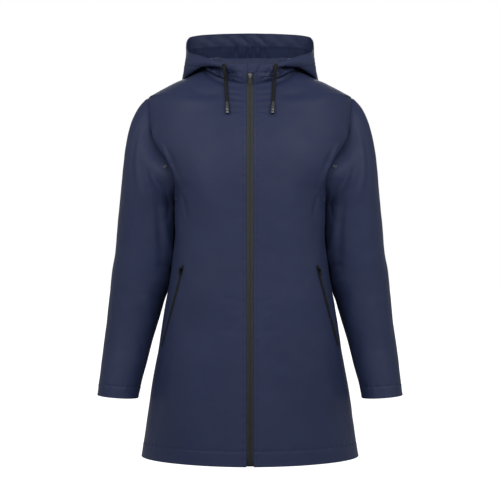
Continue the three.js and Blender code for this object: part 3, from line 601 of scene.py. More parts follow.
def stitches(name, lines):
    """Stitches along lines, each a list of points with the way out of the cloth at each."""
    points, faces = [], []
    for line, out in lines:
        steps = np.linalg.norm(np.diff(line, axis=0), axis=1)
        run = np.r_[0, np.cumsum(steps)]
        places = np.arange(STITCH_STEP, run[-1] - STITCH_STEP, STITCH_STEP)
        at = at_places(places, run, line)
        up = at_places(places, run, out)
        way = at_places(places + 1, run, line) - at
        way /= np.linalg.norm(way, axis=1, keepdims=True)
        side = np.cross(up, way)
        side /= np.linalg.norm(side, axis=1, keepdims=True)
        up = np.cross(way, side)
        at = at + up * THREAD_PROUD
        for i in range(len(places)):
            faces.append(stitch_faces + len(points) * len(stitch_points))
            turn = np.stack([way[i], side[i], up[i]])
            points.append(stitch_points @ turn + at[i])
    mesh = bpy.data.meshes.new(name)
    mesh.from_pydata((np.concatenate(points) * MM).tolist(), [], np.concatenate(faces).tolist())
    mesh.materials.append(thread)
    piece = bpy.data.objects.new(name, mesh)
    bpy.context.collection.objects.link(piece)
    piece.select_set(True)
    bpy.context.view_layer.objects.active = piece
    bpy.ops.object.shade_smooth()
    piece.select_set(False)
    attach(piece, "coat")


def upright_line(panel, distance, value, turned_over=False):
    """The line on a panel, one point for each row, where a distance across it has a value."""
    both = np.concatenate([panel.points, panel.out], axis=2)
    if turned_over:
        both, distance = both.swapaxes(0, 1), distance.T
    rows = [at_places([value], away, spots)[0] for away, spots in zip(distance, both)]
    return tuple(np.split(np.array(rows), 2, axis=1))


def level_line(panel, distance, value):
    """The same for each column, where a distance along it has a value."""
    return upright_line(panel, distance, value, turned_over=True)


# ---- fronts and back -------------------------------------------------------------------------
# Two fronts from the zip to the side seams, and a back in one. They hang from the shoulders in
# an easy A line to a turned and stitched hem, and are cut away round the armholes.
SEAM = 0.3
HEM_Z = -831.0
NECK_HALF = 97.0
NECK_DROP_FRONT = 40.5
NECK_DROP_BACK = 12.0
SHOULDER_DROP = 62.0
ARMHOLE_FOOT_Z = -265.0
ZIP_HALF = 7.5
SIDE_Y = 3.0
TOP_ZONE_Z = -170.0
NECK_COLUMNS = 8
SHOULDER_COLUMNS = 5
COLUMNS = NECK_COLUMNS + SHOULDER_COLUMNS
CROWN_COLUMNS = 2
NECK_SHARE = 0.34
HEM_DEEP = 31.0
ZIP_EDGE_ROW = 6.5

# Height, half-width, depth in front of and behind the side seams, and the section's exponent.
BODY = np.array([
    [2, 93, 58, 51, 2.4],
    [0, 97, 60, 53, 2.4],
    [-12, 119, 72, 60, 2.4],
    [-24, 142, 79, 70, 2.4],
    [-30, 157, 82, 76, 2.4],
    [-45, 187, 89, 87, 2.4],
    [-54, 204, 93, 92, 2.4],
    [-62, 217, 97, 96, 2.4],
    [-80, 221, 105, 104, 2.4],
    [-100, 223, 113, 112, 2.4],
    [-138, 224, 126, 123, 2.4],
    [-180, 217, 137, 129, 2.45],
    [-211, 203, 142, 129, 2.55],
    [-240, 183, 145, 128, 2.7],
    [-265, 165, 146.5, 126, 2.9],
    [-300, 161, 147, 123, 3],
    [-350, 161.5, 148, 122, 2.95],
    [-393, 164, 149, 123, 2.9],
    [-436, 169, 151.5, 126, 2.85],
    [-479, 176, 154, 130, 2.8],
    [-544, 186, 158, 136, 2.55],
    [-630, 201, 164, 145, 2.35],
    [-716, 215.5, 170, 154, 2.1],
    [-831, 233, 178, 163, 1.85],
])

# Height, and the armhole's distance from the middle of the coat, on the front and on the back.
ARMHOLE = np.array([
    [-62, 217, 217],
    [-80, 216, 215.5],
    [-100, 215, 214],
    [-138, 213, 209],
    [-165, 206, 202],
    [-180, 199, 196],
    [-211, 178, 180],
    [-240, 166, 169],
    [-265, 165, 165],
])

wide_at = through(BODY, 1)
depth_at = {"front": through(BODY, 2), "back": through(BODY, 3)}
square_at = through(BODY, 4)
armhole_at = {"front": through(ARMHOLE, 1), "back": through(ARMHOLE, 2)}


def body_point(side, z, angle):
    """A point of the body's section: angle 0 in the middle, a quarter turn at the side seam."""
    power = 2 / square_at(z)
    x = wide_at(z) * np.sin(angle) ** power
    reach = depth_at[side](z) * np.maximum(np.cos(angle), 0) ** power
    y = SIDE_Y - reach if side == "front" else SIDE_Y + reach
    return np.stack(np.broadcast_arrays(x, y, z), axis=-1)


def angle_of(x, z):
    return np.arcsin(np.clip(x / wide_at(z), 0, 1) ** (square_at(z) / 2))


def side_angle(side, z):
    return np.pi / 2 - (SEAM / 2 / depth_at[side](z)) ** (square_at(z) / 2)


def edge_angle(side, z):
    """Greatest angle of a panel at a height: the armhole, or the side or shoulder seam."""
    seam = side_angle(side, z)
    cut_away = (z > ARMHOLE_FOOT_Z) & (z < -SHOULDER_DROP)
    return np.where(cut_away, np.minimum(seam, angle_of(armhole_at[side](z), z)), seam)


def column_top(side, k):
    """Top of a column: along the neckline, then along the shoulder seam."""
    k = np.asarray(k, float)
    if side == "front":
        first = np.arcsin(ZIP_HALF / NECK_HALF)
        turn = first + (np.pi / 2 - first) * np.minimum(k / NECK_COLUMNS, 1)
        neck_z = -NECK_DROP_FRONT * np.maximum(np.cos(turn), 0) ** 1.5
    else:
        crown = np.radians(20)
        rest = (k - CROWN_COLUMNS) / (NECK_COLUMNS - CROWN_COLUMNS)
        late = crown + (np.pi / 2 - crown) * np.clip(rest, 0, 1)
        turn = np.where(k <= CROWN_COLUMNS, crown * k / CROWN_COLUMNS, late)
        neck_z = -NECK_DROP_BACK * np.maximum(np.cos(turn), 0) ** 1.5
    seam_z = -SHOULDER_DROP * np.maximum(k - NECK_COLUMNS, 0) / SHOULDER_COLUMNS
    seam_x = body_point(side, seam_z, side_angle(side, seam_z))[..., 0]
    on_seam = k >= NECK_COLUMNS
    return np.where(on_seam, seam_x, NECK_HALF * np.sin(turn)), np.where(on_seam, seam_z, neck_z)


def panel_points(side, columns, rows):
    """Points of a panel: rows are level up to the top zone and then fan out to its top edge."""
    top_x, top_z = column_top(side, columns)
    k, row = np.meshgrid(columns, rows)
    share = np.where(
        k <= NECK_COLUMNS,
        NECK_SHARE * k / NECK_COLUMNS,
        NECK_SHARE + (1 - NECK_SHARE) * (k - NECK_COLUMNS) / SHOULDER_COLUMNS,
    )
    fan = (row - TOP_ZONE_Z) / (-SHOULDER_DROP - TOP_ZONE_Z)
    z = np.where(row <= TOP_ZONE_Z, row, TOP_ZONE_Z + fan * (top_z - TOP_ZONE_Z))
    edge_x = ZIP_HALF if side == "front" else 0.0

    def plain_x(height):
        first = angle_of(edge_x, height)
        return body_point(side, height, first + share * (edge_angle(side, height) - first))[..., 0]

    blend = ease((z - (top_z - 150)) / 150)
    x = plain_x(z) + blend * (top_x - plain_x(np.broadcast_to(top_z, z.shape)))
    angle = np.minimum(angle_of(x, z), edge_angle(side, z))
    angle = np.where(k == COLUMNS, edge_angle(side, z), angle)
    return body_point(side, z, angle)


def even_columns(count):
    """Column numbers whose spacing across the panel is even."""
    share = np.linspace(0, 1, count)
    return np.where(
        share <= NECK_SHARE,
        share / NECK_SHARE * NECK_COLUMNS,
        NECK_COLUMNS + (share - NECK_SHARE) / (1 - NECK_SHARE) * SHOULDER_COLUMNS,
    )


BODY_ROWS = np.r_[
    np.linspace(HEM_Z, -781, 23)[:-1],
    np.linspace(-781, ARMHOLE_FOOT_Z, 105)[:-1],
    np.linspace(ARMHOLE_FOOT_Z, TOP_ZONE_Z, 36)[:-1],
    np.linspace(TOP_ZONE_Z, -SHOULDER_DROP, 72),
]

# Soft folds of a front, in distance from the middle and height: start, end, half-width, depth
# and bow. They gather beside the neck, fan out from the armhole and fall to the side of the hem.
FRONT_FOLDS = [
    ((6, -50), (54, -44), 2.6, -1.6, 1.0),
    ((8, -58), (46, -53), 2.4, 1.2, -1.0),
    ((6, -66), (52, -60), 2.6, -1.6, 2.0),
    ((4, -76), (56, -68), 2.6, -1.9, -2.0),
    ((8, -84), (46, -82), 2.4, 1.3, 1.0),
    ((6, -92), (44, -88), 2.6, -1.3, 1.0),
    ((2, -102), (50, -101), 2.2, -1.5, 0.0),
    ((54, -60), (130, -52), 9.0, -2.6, -8.0),
    ((60, -78), (190, -66), 12.0, 2.4, -6.0),
    ((196, -120), (206, -176), 6.0, 2.2, 3.0),
    ((190, -160), (168, -222), 4.5, 2.4, -4.0),
    ((176, -176), (150, -262), 6.0, -2.4, -6.0),
    ((166, -210), (142, -300), 5.0, 3.0, -6.0),
    ((156, -246), (132, -330), 5.0, -2.6, -5.0),
    ((150, -278), (144, -372), 6.0, 2.2, 4.0),
    ((158, -330), (150, -420), 6.0, -2.0, 4.0),
    ((120, -150), (60, -330), 26.0, 1.6, 10.0),
    ((150, -380), (120, -470), 9.0, 1.0, 5.0),
    ((12, -500), (64, -486), 5.0, -0.7, 2.0),
    ((12, -528), (52, -520), 5.0, 0.6, -2.0),
    ((12, -560), (70, -552), 6.0, -0.6, 2.0),
    ((176, -470), (186, -640), 8.0, 1.6, 3.0),
    ((168, -600), (196, -770), 12.0, -2.2, 4.0),
    ((196, -610), (214, -800), 7.0, 2.0, 3.0),
    ((120, -610), (140, -826), 20.0, 1.8, -4.0),
    ((60, -520), (70, -826), 24.0, -1.4, 6.0),
]


def nearest(points, line):
    """Distance from each point to the nearest point of a line, and that point's number."""
    least = np.full(points.shape[:-1], np.inf)
    number = np.zeros(points.shape[:-1], int)
    for i, spot in enumerate(line):
        away = np.linalg.norm(points - spot, axis=-1)
        number[away < least] = i
        least = np.minimum(least, away)
    return least, number


def on_panel(panel, x, z):
    """Point of a level part of a panel at a distance from the middle and a height, and its way out."""
    row = np.interp(z, panel.plain[:, 0, 2], np.arange(len(panel.plain)))
    share = row - int(row)
    found = []
    for i in (int(row), int(row) + 1):
        columns = np.arange(panel.plain.shape[1])
        column = np.interp(abs(x), np.abs(panel.plain[i, :, 0]), columns)
        j = min(int(column), len(columns) - 2)
        both = np.concatenate([panel.points[i], panel.out[i]], axis=1)
        found.append(both[j] + (both[j + 1] - both[j]) * (column - j))
    point_out = found[0] + (found[1] - found[0]) * share
    return point_out[:3], point_out[3:] / np.linalg.norm(point_out[3:])


# The sleeves are full, so the cloth on both sides of the armhole's lower half sinks towards the
# arm. Both sink as deep at their seam, so that they stay together, and the sleeve sinks further
# from it than the front does.
plain_front = Panel(panel_points("front", even_columns(110), BODY_ROWS))
ARMHOLE_SINK = 20.0
ARMHOLE_SINK_ON_FRONT = 6.5
ARMHOLE_SINK_ON_SLEEVE = 15.0
ARMHOLE_CREASE = 12.0
at_armhole = plain_front.points[:, -1, 2] >= ARMHOLE_FOOT_Z
armhole_line = plain_front.points[at_armhole, -1]
armhole_out = plain_front.out[at_armhole, -1]
armhole_low = ease((-122 - armhole_line[:, 2]) / 52)


def sink_at_armhole(points, wide):
    away, number = nearest(points, armhole_line)
    depth = ARMHOLE_SINK * bell(away, wide) + ARMHOLE_CREASE * bell(away, 5.0)
    sink = depth * armhole_low[number] + 0.15 * bell(away, 3.0)
    return points - armhole_out[number] * sink[..., None]


# Slanting pocket zips, from the upper end to the lower end: distance from the middle and height.
POCKET_TOP = np.array([139.5, -422.0])
POCKET_FOOT = np.array([185.0, -591.0])
POCKET_STEPS = 150


def pocket_frames(panel):
    """Points along a pocket's opening on a panel, with the way across it at each."""
    ends = np.linspace(POCKET_TOP, POCKET_FOOT, POCKET_STEPS + 1)
    points, outs = (np.array(part) for part in zip(*(on_panel(panel, x, z) for x, z in ends)))
    up = -np.gradient(points, axis=0)
    up /= np.linalg.norm(up, axis=1, keepdims=True)
    across = np.cross(up, outs)
    across /= np.linalg.norm(across, axis=1, keepdims=True)
    return points, across


pocket_line = pocket_frames(plain_front)[0]

SEAM_TUCK = 0.6
SEAM_TURN = 1.8


def turn_in(panel, edges, tuck):
    """The edges along a side seam turn in, and each runs a little way past the seam."""
    points = panel.points.copy()
    for edge in edges:
        low = points[:, edge, 2] <= ARMHOLE_FOOT_Z
        points[low, edge, 1] = SIDE_Y + tuck
        points[low, edge, 0] -= SEAM_TURN * np.sign(points[low, edge, 0])
    panel.shape(points)


def shape_front(seed):
    """A front on the left: folds, stitched rows and hem, seams drawn in, and the pocket's lips."""
    panel = Panel(plain_front.points)
    across, along, wide, tall = panel.span()
    x, z = panel.points[..., 0], panel.points[..., 2]
    beside, number = nearest(panel.points, pocket_line)
    height = sum(crease(x, z, *fold) for fold in FRONT_FOLDS)
    height += waver(x, z, seed, 130, 1.1) + waver(x, z, seed + 1, 46, 0.35)
    free = ease((across - 2) / 30) * ease((tall - along) / 25) * ease((wide - across) / 12)
    height = height * (0.25 + 0.75 * free) * (1 - 0.85 * bell(beside, 9.0))
    height += 0.7 * bell(across - 1.6, 1.8) + pucker(across, along, ZIP_EDGE_ROW, seed + 2, 0.8, 4.0)
    height += turned_hem(along, across, HEM_DEEP, seed + 3, 0.8)
    height -= 0.8 * bell(tall - along, 2.5)
    height -= 4.5 * bell(tall - along - 7, 7.0) * ease((x - 46) / 16) * ease((104 - x) / 14)
    height += 0.9 * bell(beside - 6.0, 1.3) - 0.9 * bell(beside, 3.9)
    height += 0.25 * pucker(beside, number * 1.2, 9.0, seed + 4, 1.0, 6.0) * (beside < 30)
    panel.raise_by(height)
    panel.shape(sink_at_armhole(panel.points, ARMHOLE_SINK_ON_FRONT))
    turn_in(panel, [-1], SEAM_TUCK)
    return panel


front_left = shape_front(11)
front_right = shape_front(31).mirrored()
FRONT_CUT = {"flat": (0.31, 0.84), "area": 0.222, "rests_on": ["back"]}
make_cloth("front_left_cloth", front_left, "front_left", **FRONT_CUT)
make_cloth("front_right_cloth", front_right, "front_right", **FRONT_CUT)

# Folds of the back: a soft yoke fold under the hood, folds from the armholes, and a few long
# ones that fall from the shoulder blades to the hem.
BACK_FOLDS = [
    ((-120, -70), (120, -66), 11.0, 1.8, -14.0),
    ((-150, -96), (140, -92), 14.0, -1.8, -16.0),
    ((-186, -168), (-146, -262), 8.0, 2.4, 6.0),
    ((184, -172), (150, -256), 7.0, 2.4, -6.0),
    ((-166, -214), (-130, -320), 6.0, -1.6, 6.0),
    ((168, -208), (136, -326), 7.0, -1.6, -6.0),
    ((-92, -230), (-112, -560), 24.0, 2.0, 8.0),
    ((84, -210), (110, -600), 26.0, 2.0, -8.0),
    ((6, -330), (-14, -640), 22.0, -1.6, 8.0),
    ((-70, -420), (70, -410), 16.0, -1.4, -10.0),
    ((-60, -452), (84, -446), 12.0, 1.1, 8.0),
    ((-176, -560), (-206, -800), 11.0, -2.2, -4.0),
    ((180, -540), (204, -806), 12.0, -2.2, 4.0),
    ((-56, -560), (-64, -828), 22.0, 2.2, 6.0),
    ((40, -600), (60, -828), 20.0, -1.6, -5.0),
    ((120, -600), (132, -826), 18.0, 1.8, 5.0),
]


def shape_back(seed):
    """The back in one: folds, the hem, and the seams drawn in all round."""
    half = panel_points("back", even_columns(82), BODY_ROWS)
    whole = np.concatenate([half[:, :0:-1] * (-1, 1, 1), half], axis=1)
    panel = Panel(whole, flip=True)
    across, along, wide, tall = panel.span()
    x, z = panel.points[..., 0], panel.points[..., 2]
    height = sum(crease(x, z, *fold) for fold in BACK_FOLDS)
    height += waver(x, z, seed, 140, 1.2) + waver(x, z, seed + 1, 50, 0.35)
    edge = np.minimum(across, wide - across)
    height = height * (0.25 + 0.75 * ease(edge / 14) * ease((tall - along) / 20))
    height += turned_hem(along, across, HEM_DEEP, seed + 3, 0.8)
    height -= 1.3 * bell(edge, 3.2)
    height -= bell(tall - along, 3.0)
    panel.raise_by(height)
    turn_in(panel, [0, -1], -SEAM_TUCK)
    return panel


back = shape_back(51)
make_cloth("back_cloth", back, "back", flat=(0.6, 0.85), area=0.432, rests_on=["hood_middle"])

for name, panel in (("left", front_left), ("right", front_right)):
    across, along, wide, tall = panel.span()
    stitches(f"hem_stitches_{name}", [level_line(panel, along, HEM_DEEP)])
    stitches(f"zip_edge_stitches_{name}", [upright_line(panel, across, ZIP_EDGE_ROW)])
stitches("hem_stitches_back", [level_line(back, back.span()[1], HEM_DEEP)])


# ---- sleeves ---------------------------------------------------------------------------------
# Set-in sleeves, each a tube with its seam under the arm, full over the cap, bent forward a
# little at the elbow, and turned up and stitched at the cuff.
SLEEVE_SQUARE = 2.1
CUFF_Z = -700.0
CUFF_DEEP = 25.0

# Height, middle of the section, half-width, half-depth, and its fall towards the body.
SLEEVE = np.array([
    [-300, 222.3, 6, 58.8, 71, 0],
    [-350, 225, 8, 61, 71, 0],
    [-393, 228.5, 9, 61.5, 70, 0],
    [-436, 235.2, 9, 62, 68, 0.01],
    [-479, 240.5, 8, 60.7, 66, 0.02],
    [-501, 244.5, 5, 59, 64, 0.03],
    [-544, 252.7, 0, 54.7, 61, 0.04],
    [-587, 261.5, -6, 51, 58, 0.05],
    [-630, 269, -16, 48, 54.5, 0.06],
    [-673, 277, -26, 44.5, 51, 0.07],
    [-700, 281, -32, 43, 49, 0.075],
])
sleeve_at = {name: through(SLEEVE, i + 1) for i, name in enumerate(["x", "y", "wide", "deep", "fall"])}


def sleeve_section(z, angle):
    """Angle 0 is the outside of the arm, a quarter turn its front, and half a turn its inside."""
    power = 2 / SLEEVE_SQUARE
    c, s = np.cos(angle), np.sin(angle)
    dx = sleeve_at["wide"](z) * np.sign(c) * np.abs(c) ** power
    dy = -sleeve_at["deep"](z) * np.sign(s) * np.abs(s) ** power
    x, y, fall = sleeve_at["x"](z), sleeve_at["y"](z), sleeve_at["fall"](z)
    return np.stack([x + dx, y + dy, z + fall * dx], axis=-1)


def armhole_points(angles):
    """Points of the armhole, from the shoulder down its front and up its back."""
    rows = np.linspace(-SHOULDER_DROP, ARMHOLE_FOOT_Z, 90)
    halves = []
    for side in ("front", "back"):
        edge = panel_points(side, np.array([float(COLUMNS)]), rows)[:, 0]
        edge[0, 1] = SIDE_Y
        edge[-1, 1] = SIDE_Y
        run = np.r_[0, np.cumsum(np.linalg.norm(np.diff(edge, axis=0), axis=1))]
        halves.append((edge, run / run[-1]))
    points = []
    for angle in angles:
        down = angle <= np.pi
        edge, run = halves[0] if down else halves[1]
        share = angle / np.pi if down else 2 - angle / np.pi
        points.append([np.interp(share, run, edge[:, i]) for i in range(3)])
    return np.array(points)


def sleeve_cap(t, edge, angle):
    """Points between the armhole (t is 0) and the first level section of the sleeve (1)."""
    top = SLEEVE[0, 0]
    end = sleeve_section(np.full_like(angle, top), angle)
    ahead = sleeve_section(np.full_like(angle, top - 10), angle) - end
    ahead /= np.linalg.norm(ahead, axis=1, keepdims=True)
    span = np.linalg.norm(end - edge, axis=1)[:, None]
    upper = (1 + np.cos(angle)) / 2
    side = np.sin(angle)
    start = np.stack([0.1 + 0.78 * upper + 0.1 * side * side, -0.3 * side, -1 + 0.53 * upper], axis=-1)
    start /= np.linalg.norm(start, axis=1, keepdims=True)
    root = edge + start * 0.1
    t = t[:, None, None]
    return (
        root * (1 + 2 * t) * (1 - t) ** 2
        + 0.72 * span * start * t * (1 - t) ** 2
        + end * t * t * (3 - 2 * t)
        + span * ahead * t * t * (t - 1)
    )


# Folds of a sleeve, in distance round it from the outside of the arm and height. The front of
# the arm is at about 105 and its inside at about 210.
SLEEVE_FOLDS = [
    ((60, -110), (74, -300), 10.0, -1.6, 5.0),
    ((86, -140), (104, -330), 9.0, 1.8, -4.0),
    ((20, -96), (26, -250), 12.0, 1.2, 4.0),
    ((-40, -110), (-60, -300), 13.0, -1.5, -5.0),
    ((-92, -150), (-100, -330), 11.0, 1.6, 4.0),
    ((130, -214), (118, -270), 4.5, -2.6, 3.0),
    ((142, -226), (140, -300), 4.5, 2.6, 3.0),
    ((158, -240), (156, -330), 5.0, -3.0, 3.0),
    ((120, -250), (150, -440), 9.0, -3.0, 5.0),
    ((150, -330), (196, -430), 8.0, 2.2, -5.0),
    ((140, -420), (206, -440), 6.0, -2.6, 4.0),
    ((132, -452), (202, -470), 7.0, 1.8, 4.0),
    ((128, -478), (196, -506), 7.0, -1.8, -4.0),
    ((96, -470), (150, -560), 12.0, 1.5, 6.0),
    ((110, -560), (140, -650), 9.0, -1.5, 5.0),
    ((40, -420), (70, -600), 14.0, 1.2, -6.0),
    ((-150, -400), (-90, -430), 9.0, -1.8, 5.0),
    ((-160, -452), (-80, -480), 9.0, 1.5, 5.0),
    ((-140, -540), (-90, -600), 9.0, -1.2, 4.0),
    ((-40, -500), (-30, -660), 12.0, 1.2, 5.0),
]

LEAN_DEEP = 17.0
TOUCH_GAP = 1.6


def lean_on_body(points, angles):
    """Pushes the inside of the sleeve's front against the side of the body, just clear of it."""
    x, y, z = np.moveaxis(points, -1, 0)
    push = LEAN_DEEP * bell(angles - np.pi, 0.95) * ease((-225 - z) / 50) * ease((z + 503) / 90)
    depth = np.where(y < SIDE_Y, depth_at["front"](z), depth_at["back"](z))
    reach = np.clip(np.abs(y - SIDE_Y) / depth, 0, 1)
    body_x = wide_at(z) * (1 - reach ** square_at(z)) ** (1 / square_at(z))
    clear = np.maximum(x - push, body_x + TOUCH_GAP)
    return np.stack([np.minimum(x, clear), y, z], axis=-1)


def shape_sleeve(seed):
    """A sleeve on the left: folds, a rise beside the armhole, the cuff's hem and the arm seam."""
    angles = np.linspace(0, 2 * np.pi, 150, endpoint=False)
    edge = armhole_points(angles)
    cap = sleeve_cap(np.linspace(0, 1, 62)[:-1], edge, angles)
    heights = np.r_[np.linspace(SLEEVE[0, 0], -660, 92)[:-1], np.linspace(-660, CUFF_Z, 20)]
    arm = np.stack([sleeve_section(np.full_like(angles, z), angles) for z in heights])
    whole = np.concatenate([cap, arm])
    panel = Panel(lean_on_body(whole, angles), ring=True)
    across, along, wide, tall = panel.span()
    z = panel.points[..., 2]
    inner = np.where(across > wide / 2, across - wide, across)
    height = sum(crease(inner, z, *fold) for fold in SLEEVE_FOLDS)
    height += waver(inner, z, seed, 120, 0.9) + waver(inner, z, seed + 1, 40, 0.3)
    height *= ease(along / 10) * ease((tall - along) / 20)
    under = ease((np.abs(angles - np.pi) - 0.5) / 0.8)
    height += 0.8 * under * bell(along - 7, 5.0) * ease(along / 6)
    to_cuff = tall - along
    height += turned_hem(to_cuff, across, CUFF_DEEP, seed + 3, 0.9)
    arm_seam = np.abs(across - wide / 2)
    height -= 0.8 * bell(arm_seam, 2.2) * ease(along / 10)
    panel.raise_by(height)
    panel.shape(sink_at_armhole(panel.points, ARMHOLE_SINK_ON_SLEEVE))
    return panel


SLEEVE_CUT = {"flat": (0.43, 0.63), "area": 0.217}
sleeves = {"left": shape_sleeve(71), "right": shape_sleeve(91).mirrored()}
for name, panel in sleeves.items():
    seam_pieces = [f"front_{name}", "back"]
    make_cloth(f"sleeve_{name}_cloth", panel, f"sleeve_{name}", rests_on=seam_pieces, **SLEEVE_CUT)
    across, along, wide, tall = panel.span()
    line, out = level_line(panel, along - tall, -CUFF_DEEP)
    stitches(f"cuff_stitches_{name}", [(np.r_[line, line[:1]], np.r_[out, out[:1]])])


# ---- hood ------------------------------------------------------------------------------------
# Two sides and a middle strip, sewn to the neckline. The front stands up round the neck, and the
# rest lies down behind it as an open pouch, its face opening turned in and stitched as a hem.
HOOD_PLACES = 16
HOOD_HEM_DEEP = 28.0
HOOD_STEPS = (12, 10, 14, 14, 42)
# About how far apart two places are along the hood's middle strip.
PLACE_LONG = 16
# Places where the middle strip starts and ends. The whole hood has twice the places of a half.
MIDDLE_FROM = 14
MIDDLE_TO = 18

# Place along the neckline in sixteenths, from the front edge to the middle of the back, then
# the top of the stand, the inside, the foot and the outside of the pouch, and the rim.
HOOD = np.array([
    [0, 7.5, -86, -31, 7.5, -87, -23, 7.5, -87, -15, 7.5, -86, -7, 7.5, -84, 1],
    [1, 26, -86, -29, 26, -87, -21, 26, -88, -14, 26, -88, -7, 26, -86, 0],
    [2, 43, -84, -24, 43, -86, -17, 43, -88, -12, 43, -89, -7, 44, -87, 0],
    [4, 69, -72, -4, 69, -77, -2, 70, -82, -4.5, 72, -84, 0.5, 72, -80, 7.5],
    [6, 86, -46, 11, 92, -50, 8, 99.5, -59, -3, 105.5, -61, 6, 103, -57, 20.5],
    [8, 93, 3, 20, 112, -4, 2, 139.5, -11, -20.5, 141, -15, 4, 132.5, -17, 34],
    [10, 86, 36, 26, 115, 42, 2, 149, 48, -28, 141, 46, 9, 139, 45, 53],
    [11, 77, 48, 29, 108, 66, -10, 152, 84, -46, 144, 82, 4, 139.5, 80, 69],
    [12, 64, 57, 30, 90, 86, -26, 128, 116, -78, 140, 118, -6, 134.5, 109, 83],
    [13, 50, 63, 30, 64, 101, -38, 90, 136, -102, 104, 152, -14, 100, 127, 91.5],
    [14, 33.2, 67, 30, 35, 110, -46, 37, 150, -118, 39, 172, -18, 35, 134, 94.5],
    [16, 0, 69, 30, 0, 112, -48, 0, 152, -121, 0, 176, -18, 0, 135, 95],
])


def neck_points(places):
    """Points of the neckline's seam at places from the front edge to the middle of the back."""
    points = []
    for place in places:
        side = "front" if place <= NECK_COLUMNS else "back"
        k = place if place <= NECK_COLUMNS else HOOD_PLACES - place
        x, z = column_top(side, k)
        points.append(body_point(side, z, angle_of(x, z)) + (0, 0, SEAM + 0.1))
    return np.array(points)


def hood_grid(per_place):
    """Sections of the whole hood, from the front edge on the left round to the right."""
    places = np.linspace(0, HOOD_PLACES, HOOD_PLACES * per_place + 1)
    lines = [np.stack([through(HOOD, 1 + 3 * n + i)(places) for i in range(3)], axis=-1) for n in range(5)]
    knots = np.stack([neck_points(places), *lines], axis=1)
    half = spline(knots, HOOD_STEPS)
    return np.concatenate([half, half[-2::-1] * (-1, 1, 1)])


# Folds of the hood, in distance along the rim from the middle of the back and distance from
# the rim: start, end, half-width, depth and bow.
HOOD_FOLDS = [
    ((-114, 4), (-98, 26), 4.2, -1.2, 1.0),
    ((-96, 4), (-78, 26), 4.2, 1.9, 1.0),
    ((-74, 3), (-60, 26), 4.2, -1.9, 1.0),
    ((-58, 4), (-40, 27), 4.0, 2.2, -1.0),
    ((-40, 3), (-24, 26), 4.2, -1.9, 1.0),
    ((-22, 3), (2, 27), 4.4, 2.4, 2.0),
    ((0, 3), (20, 26), 4.0, -1.9, -1.0),
    ((18, 3), (38, 27), 4.0, 2.2, 1.0),
    ((40, 3), (54, 26), 4.2, -1.9, 1.0),
    ((58, 4), (72, 26), 4.2, 1.9, 1.0),
    ((80, 4), (92, 26), 4.4, -1.8, 1.0),
    ((98, 4), (110, 26), 4.2, 1.2, 1.0),
]

# Creases of the hood's front, in distance round the neck from the front edge and from the seam.
STAND_FOLDS = [
    ((3, 4), (30, 9), 2.0, -1.8, 1.0),
    ((2, 15), (24, 13), 2.2, 1.6, -1.0),
    ((4, 22), (34, 17), 2.2, -1.8, 1.0),
    ((30, 3), (46, 15), 2.0, 1.6, 0.0),
    ((40, 4), (70, 8), 2.4, -2.2, 1.5),
    ((52, 20), (78, 10), 2.6, 1.8, 1.0),
    ((70, 5), (104, 9), 3.0, -2.3, 2.0),
]


def shape_hood(seed):
    """The whole hood: folds and pleats under its hem, the rolled hem, and creases round the neck."""
    per_place = 10
    panel = Panel(hood_grid(per_place), flip=True)
    length = run_of(panel.points, 0)
    middle = length.shape[0] // 2
    rim_run = (length[:, -1] - length[middle, -1])[:, None]
    to_rim = panel.across[:, -1:] - panel.across
    from_seam = panel.across
    number = np.arange(panel.points.shape[0])[:, None] / per_place
    place = np.minimum(number, 2 * HOOD_PLACES - number)
    at_back = ease((place - 9) / 3)
    at_front = ease((7.5 - place) / 2)
    rng = np.random.default_rng(seed)
    height = sum(crease(-rim_run, to_rim, *fold) for fold in HOOD_FOLDS) * ease(to_rim / 9)
    height *= ease((place - 8) / 2.5)
    pleats = ripples(rng, [rim_run] * 4, (9.5, 13.0, 19.0, 31.0))
    height += at_back * 1.9 * np.tanh(pleats / 1.3) * bell(to_rim - 43, 11)
    height += ease((place - 12) / 2) * 5.0 * ease((HOOD_HEM_DEEP - to_rim) / HOOD_HEM_DEEP)
    height += waver(rim_run + 0 * to_rim, to_rim, seed, 60, 0.9) * ease(from_seam / 12)
    height -= bell(to_rim - HOOD_HEM_DEEP, 1.5)
    height += 0.5 * bell(to_rim - 1.5, 1.6)
    round_neck = at_front * ease((place - 2.5) / 1.2)
    height += round_neck * (6.0 * bell(from_seam - 6, 3.6) - 7.0 * bell(from_seam - 17, 5.5))
    run = panel.along
    slanting = ripples(rng, [run + slant * from_seam for slant in (0.5, -0.7, 0.9)], (13.0, 17.0, 26.0))
    height += slanting * at_front * bell(from_seam - 14, 14) * ease(place - 0.4)
    from_edge = np.minimum(run, run[-1:] - run)
    height += at_front * sum(crease(from_edge, from_seam, *fold) for fold in STAND_FOLDS)
    for seam in (MIDDLE_FROM, MIDDLE_TO):
        gap = PLACE_LONG * np.abs(number - seam)
        height -= 0.8 * bell(gap, 2.6)
    height -= 0.9 * bell(from_seam, 2.6)
    height *= 0.3 + 0.7 * ease((place - 0.3) / 2)
    panel.raise_by(height)
    return panel, per_place


hood, per_place = shape_hood(7)


def hood_part(first, last):
    """The part of the hood between two places, with the whole hood's own normals."""
    rows = slice(first * per_place, last * per_place + 1)
    part = Panel(hood.points[rows], flip=True)
    part.out = hood.out[rows]
    part.across, part.along = hood.across[rows], hood.along[rows]
    return part


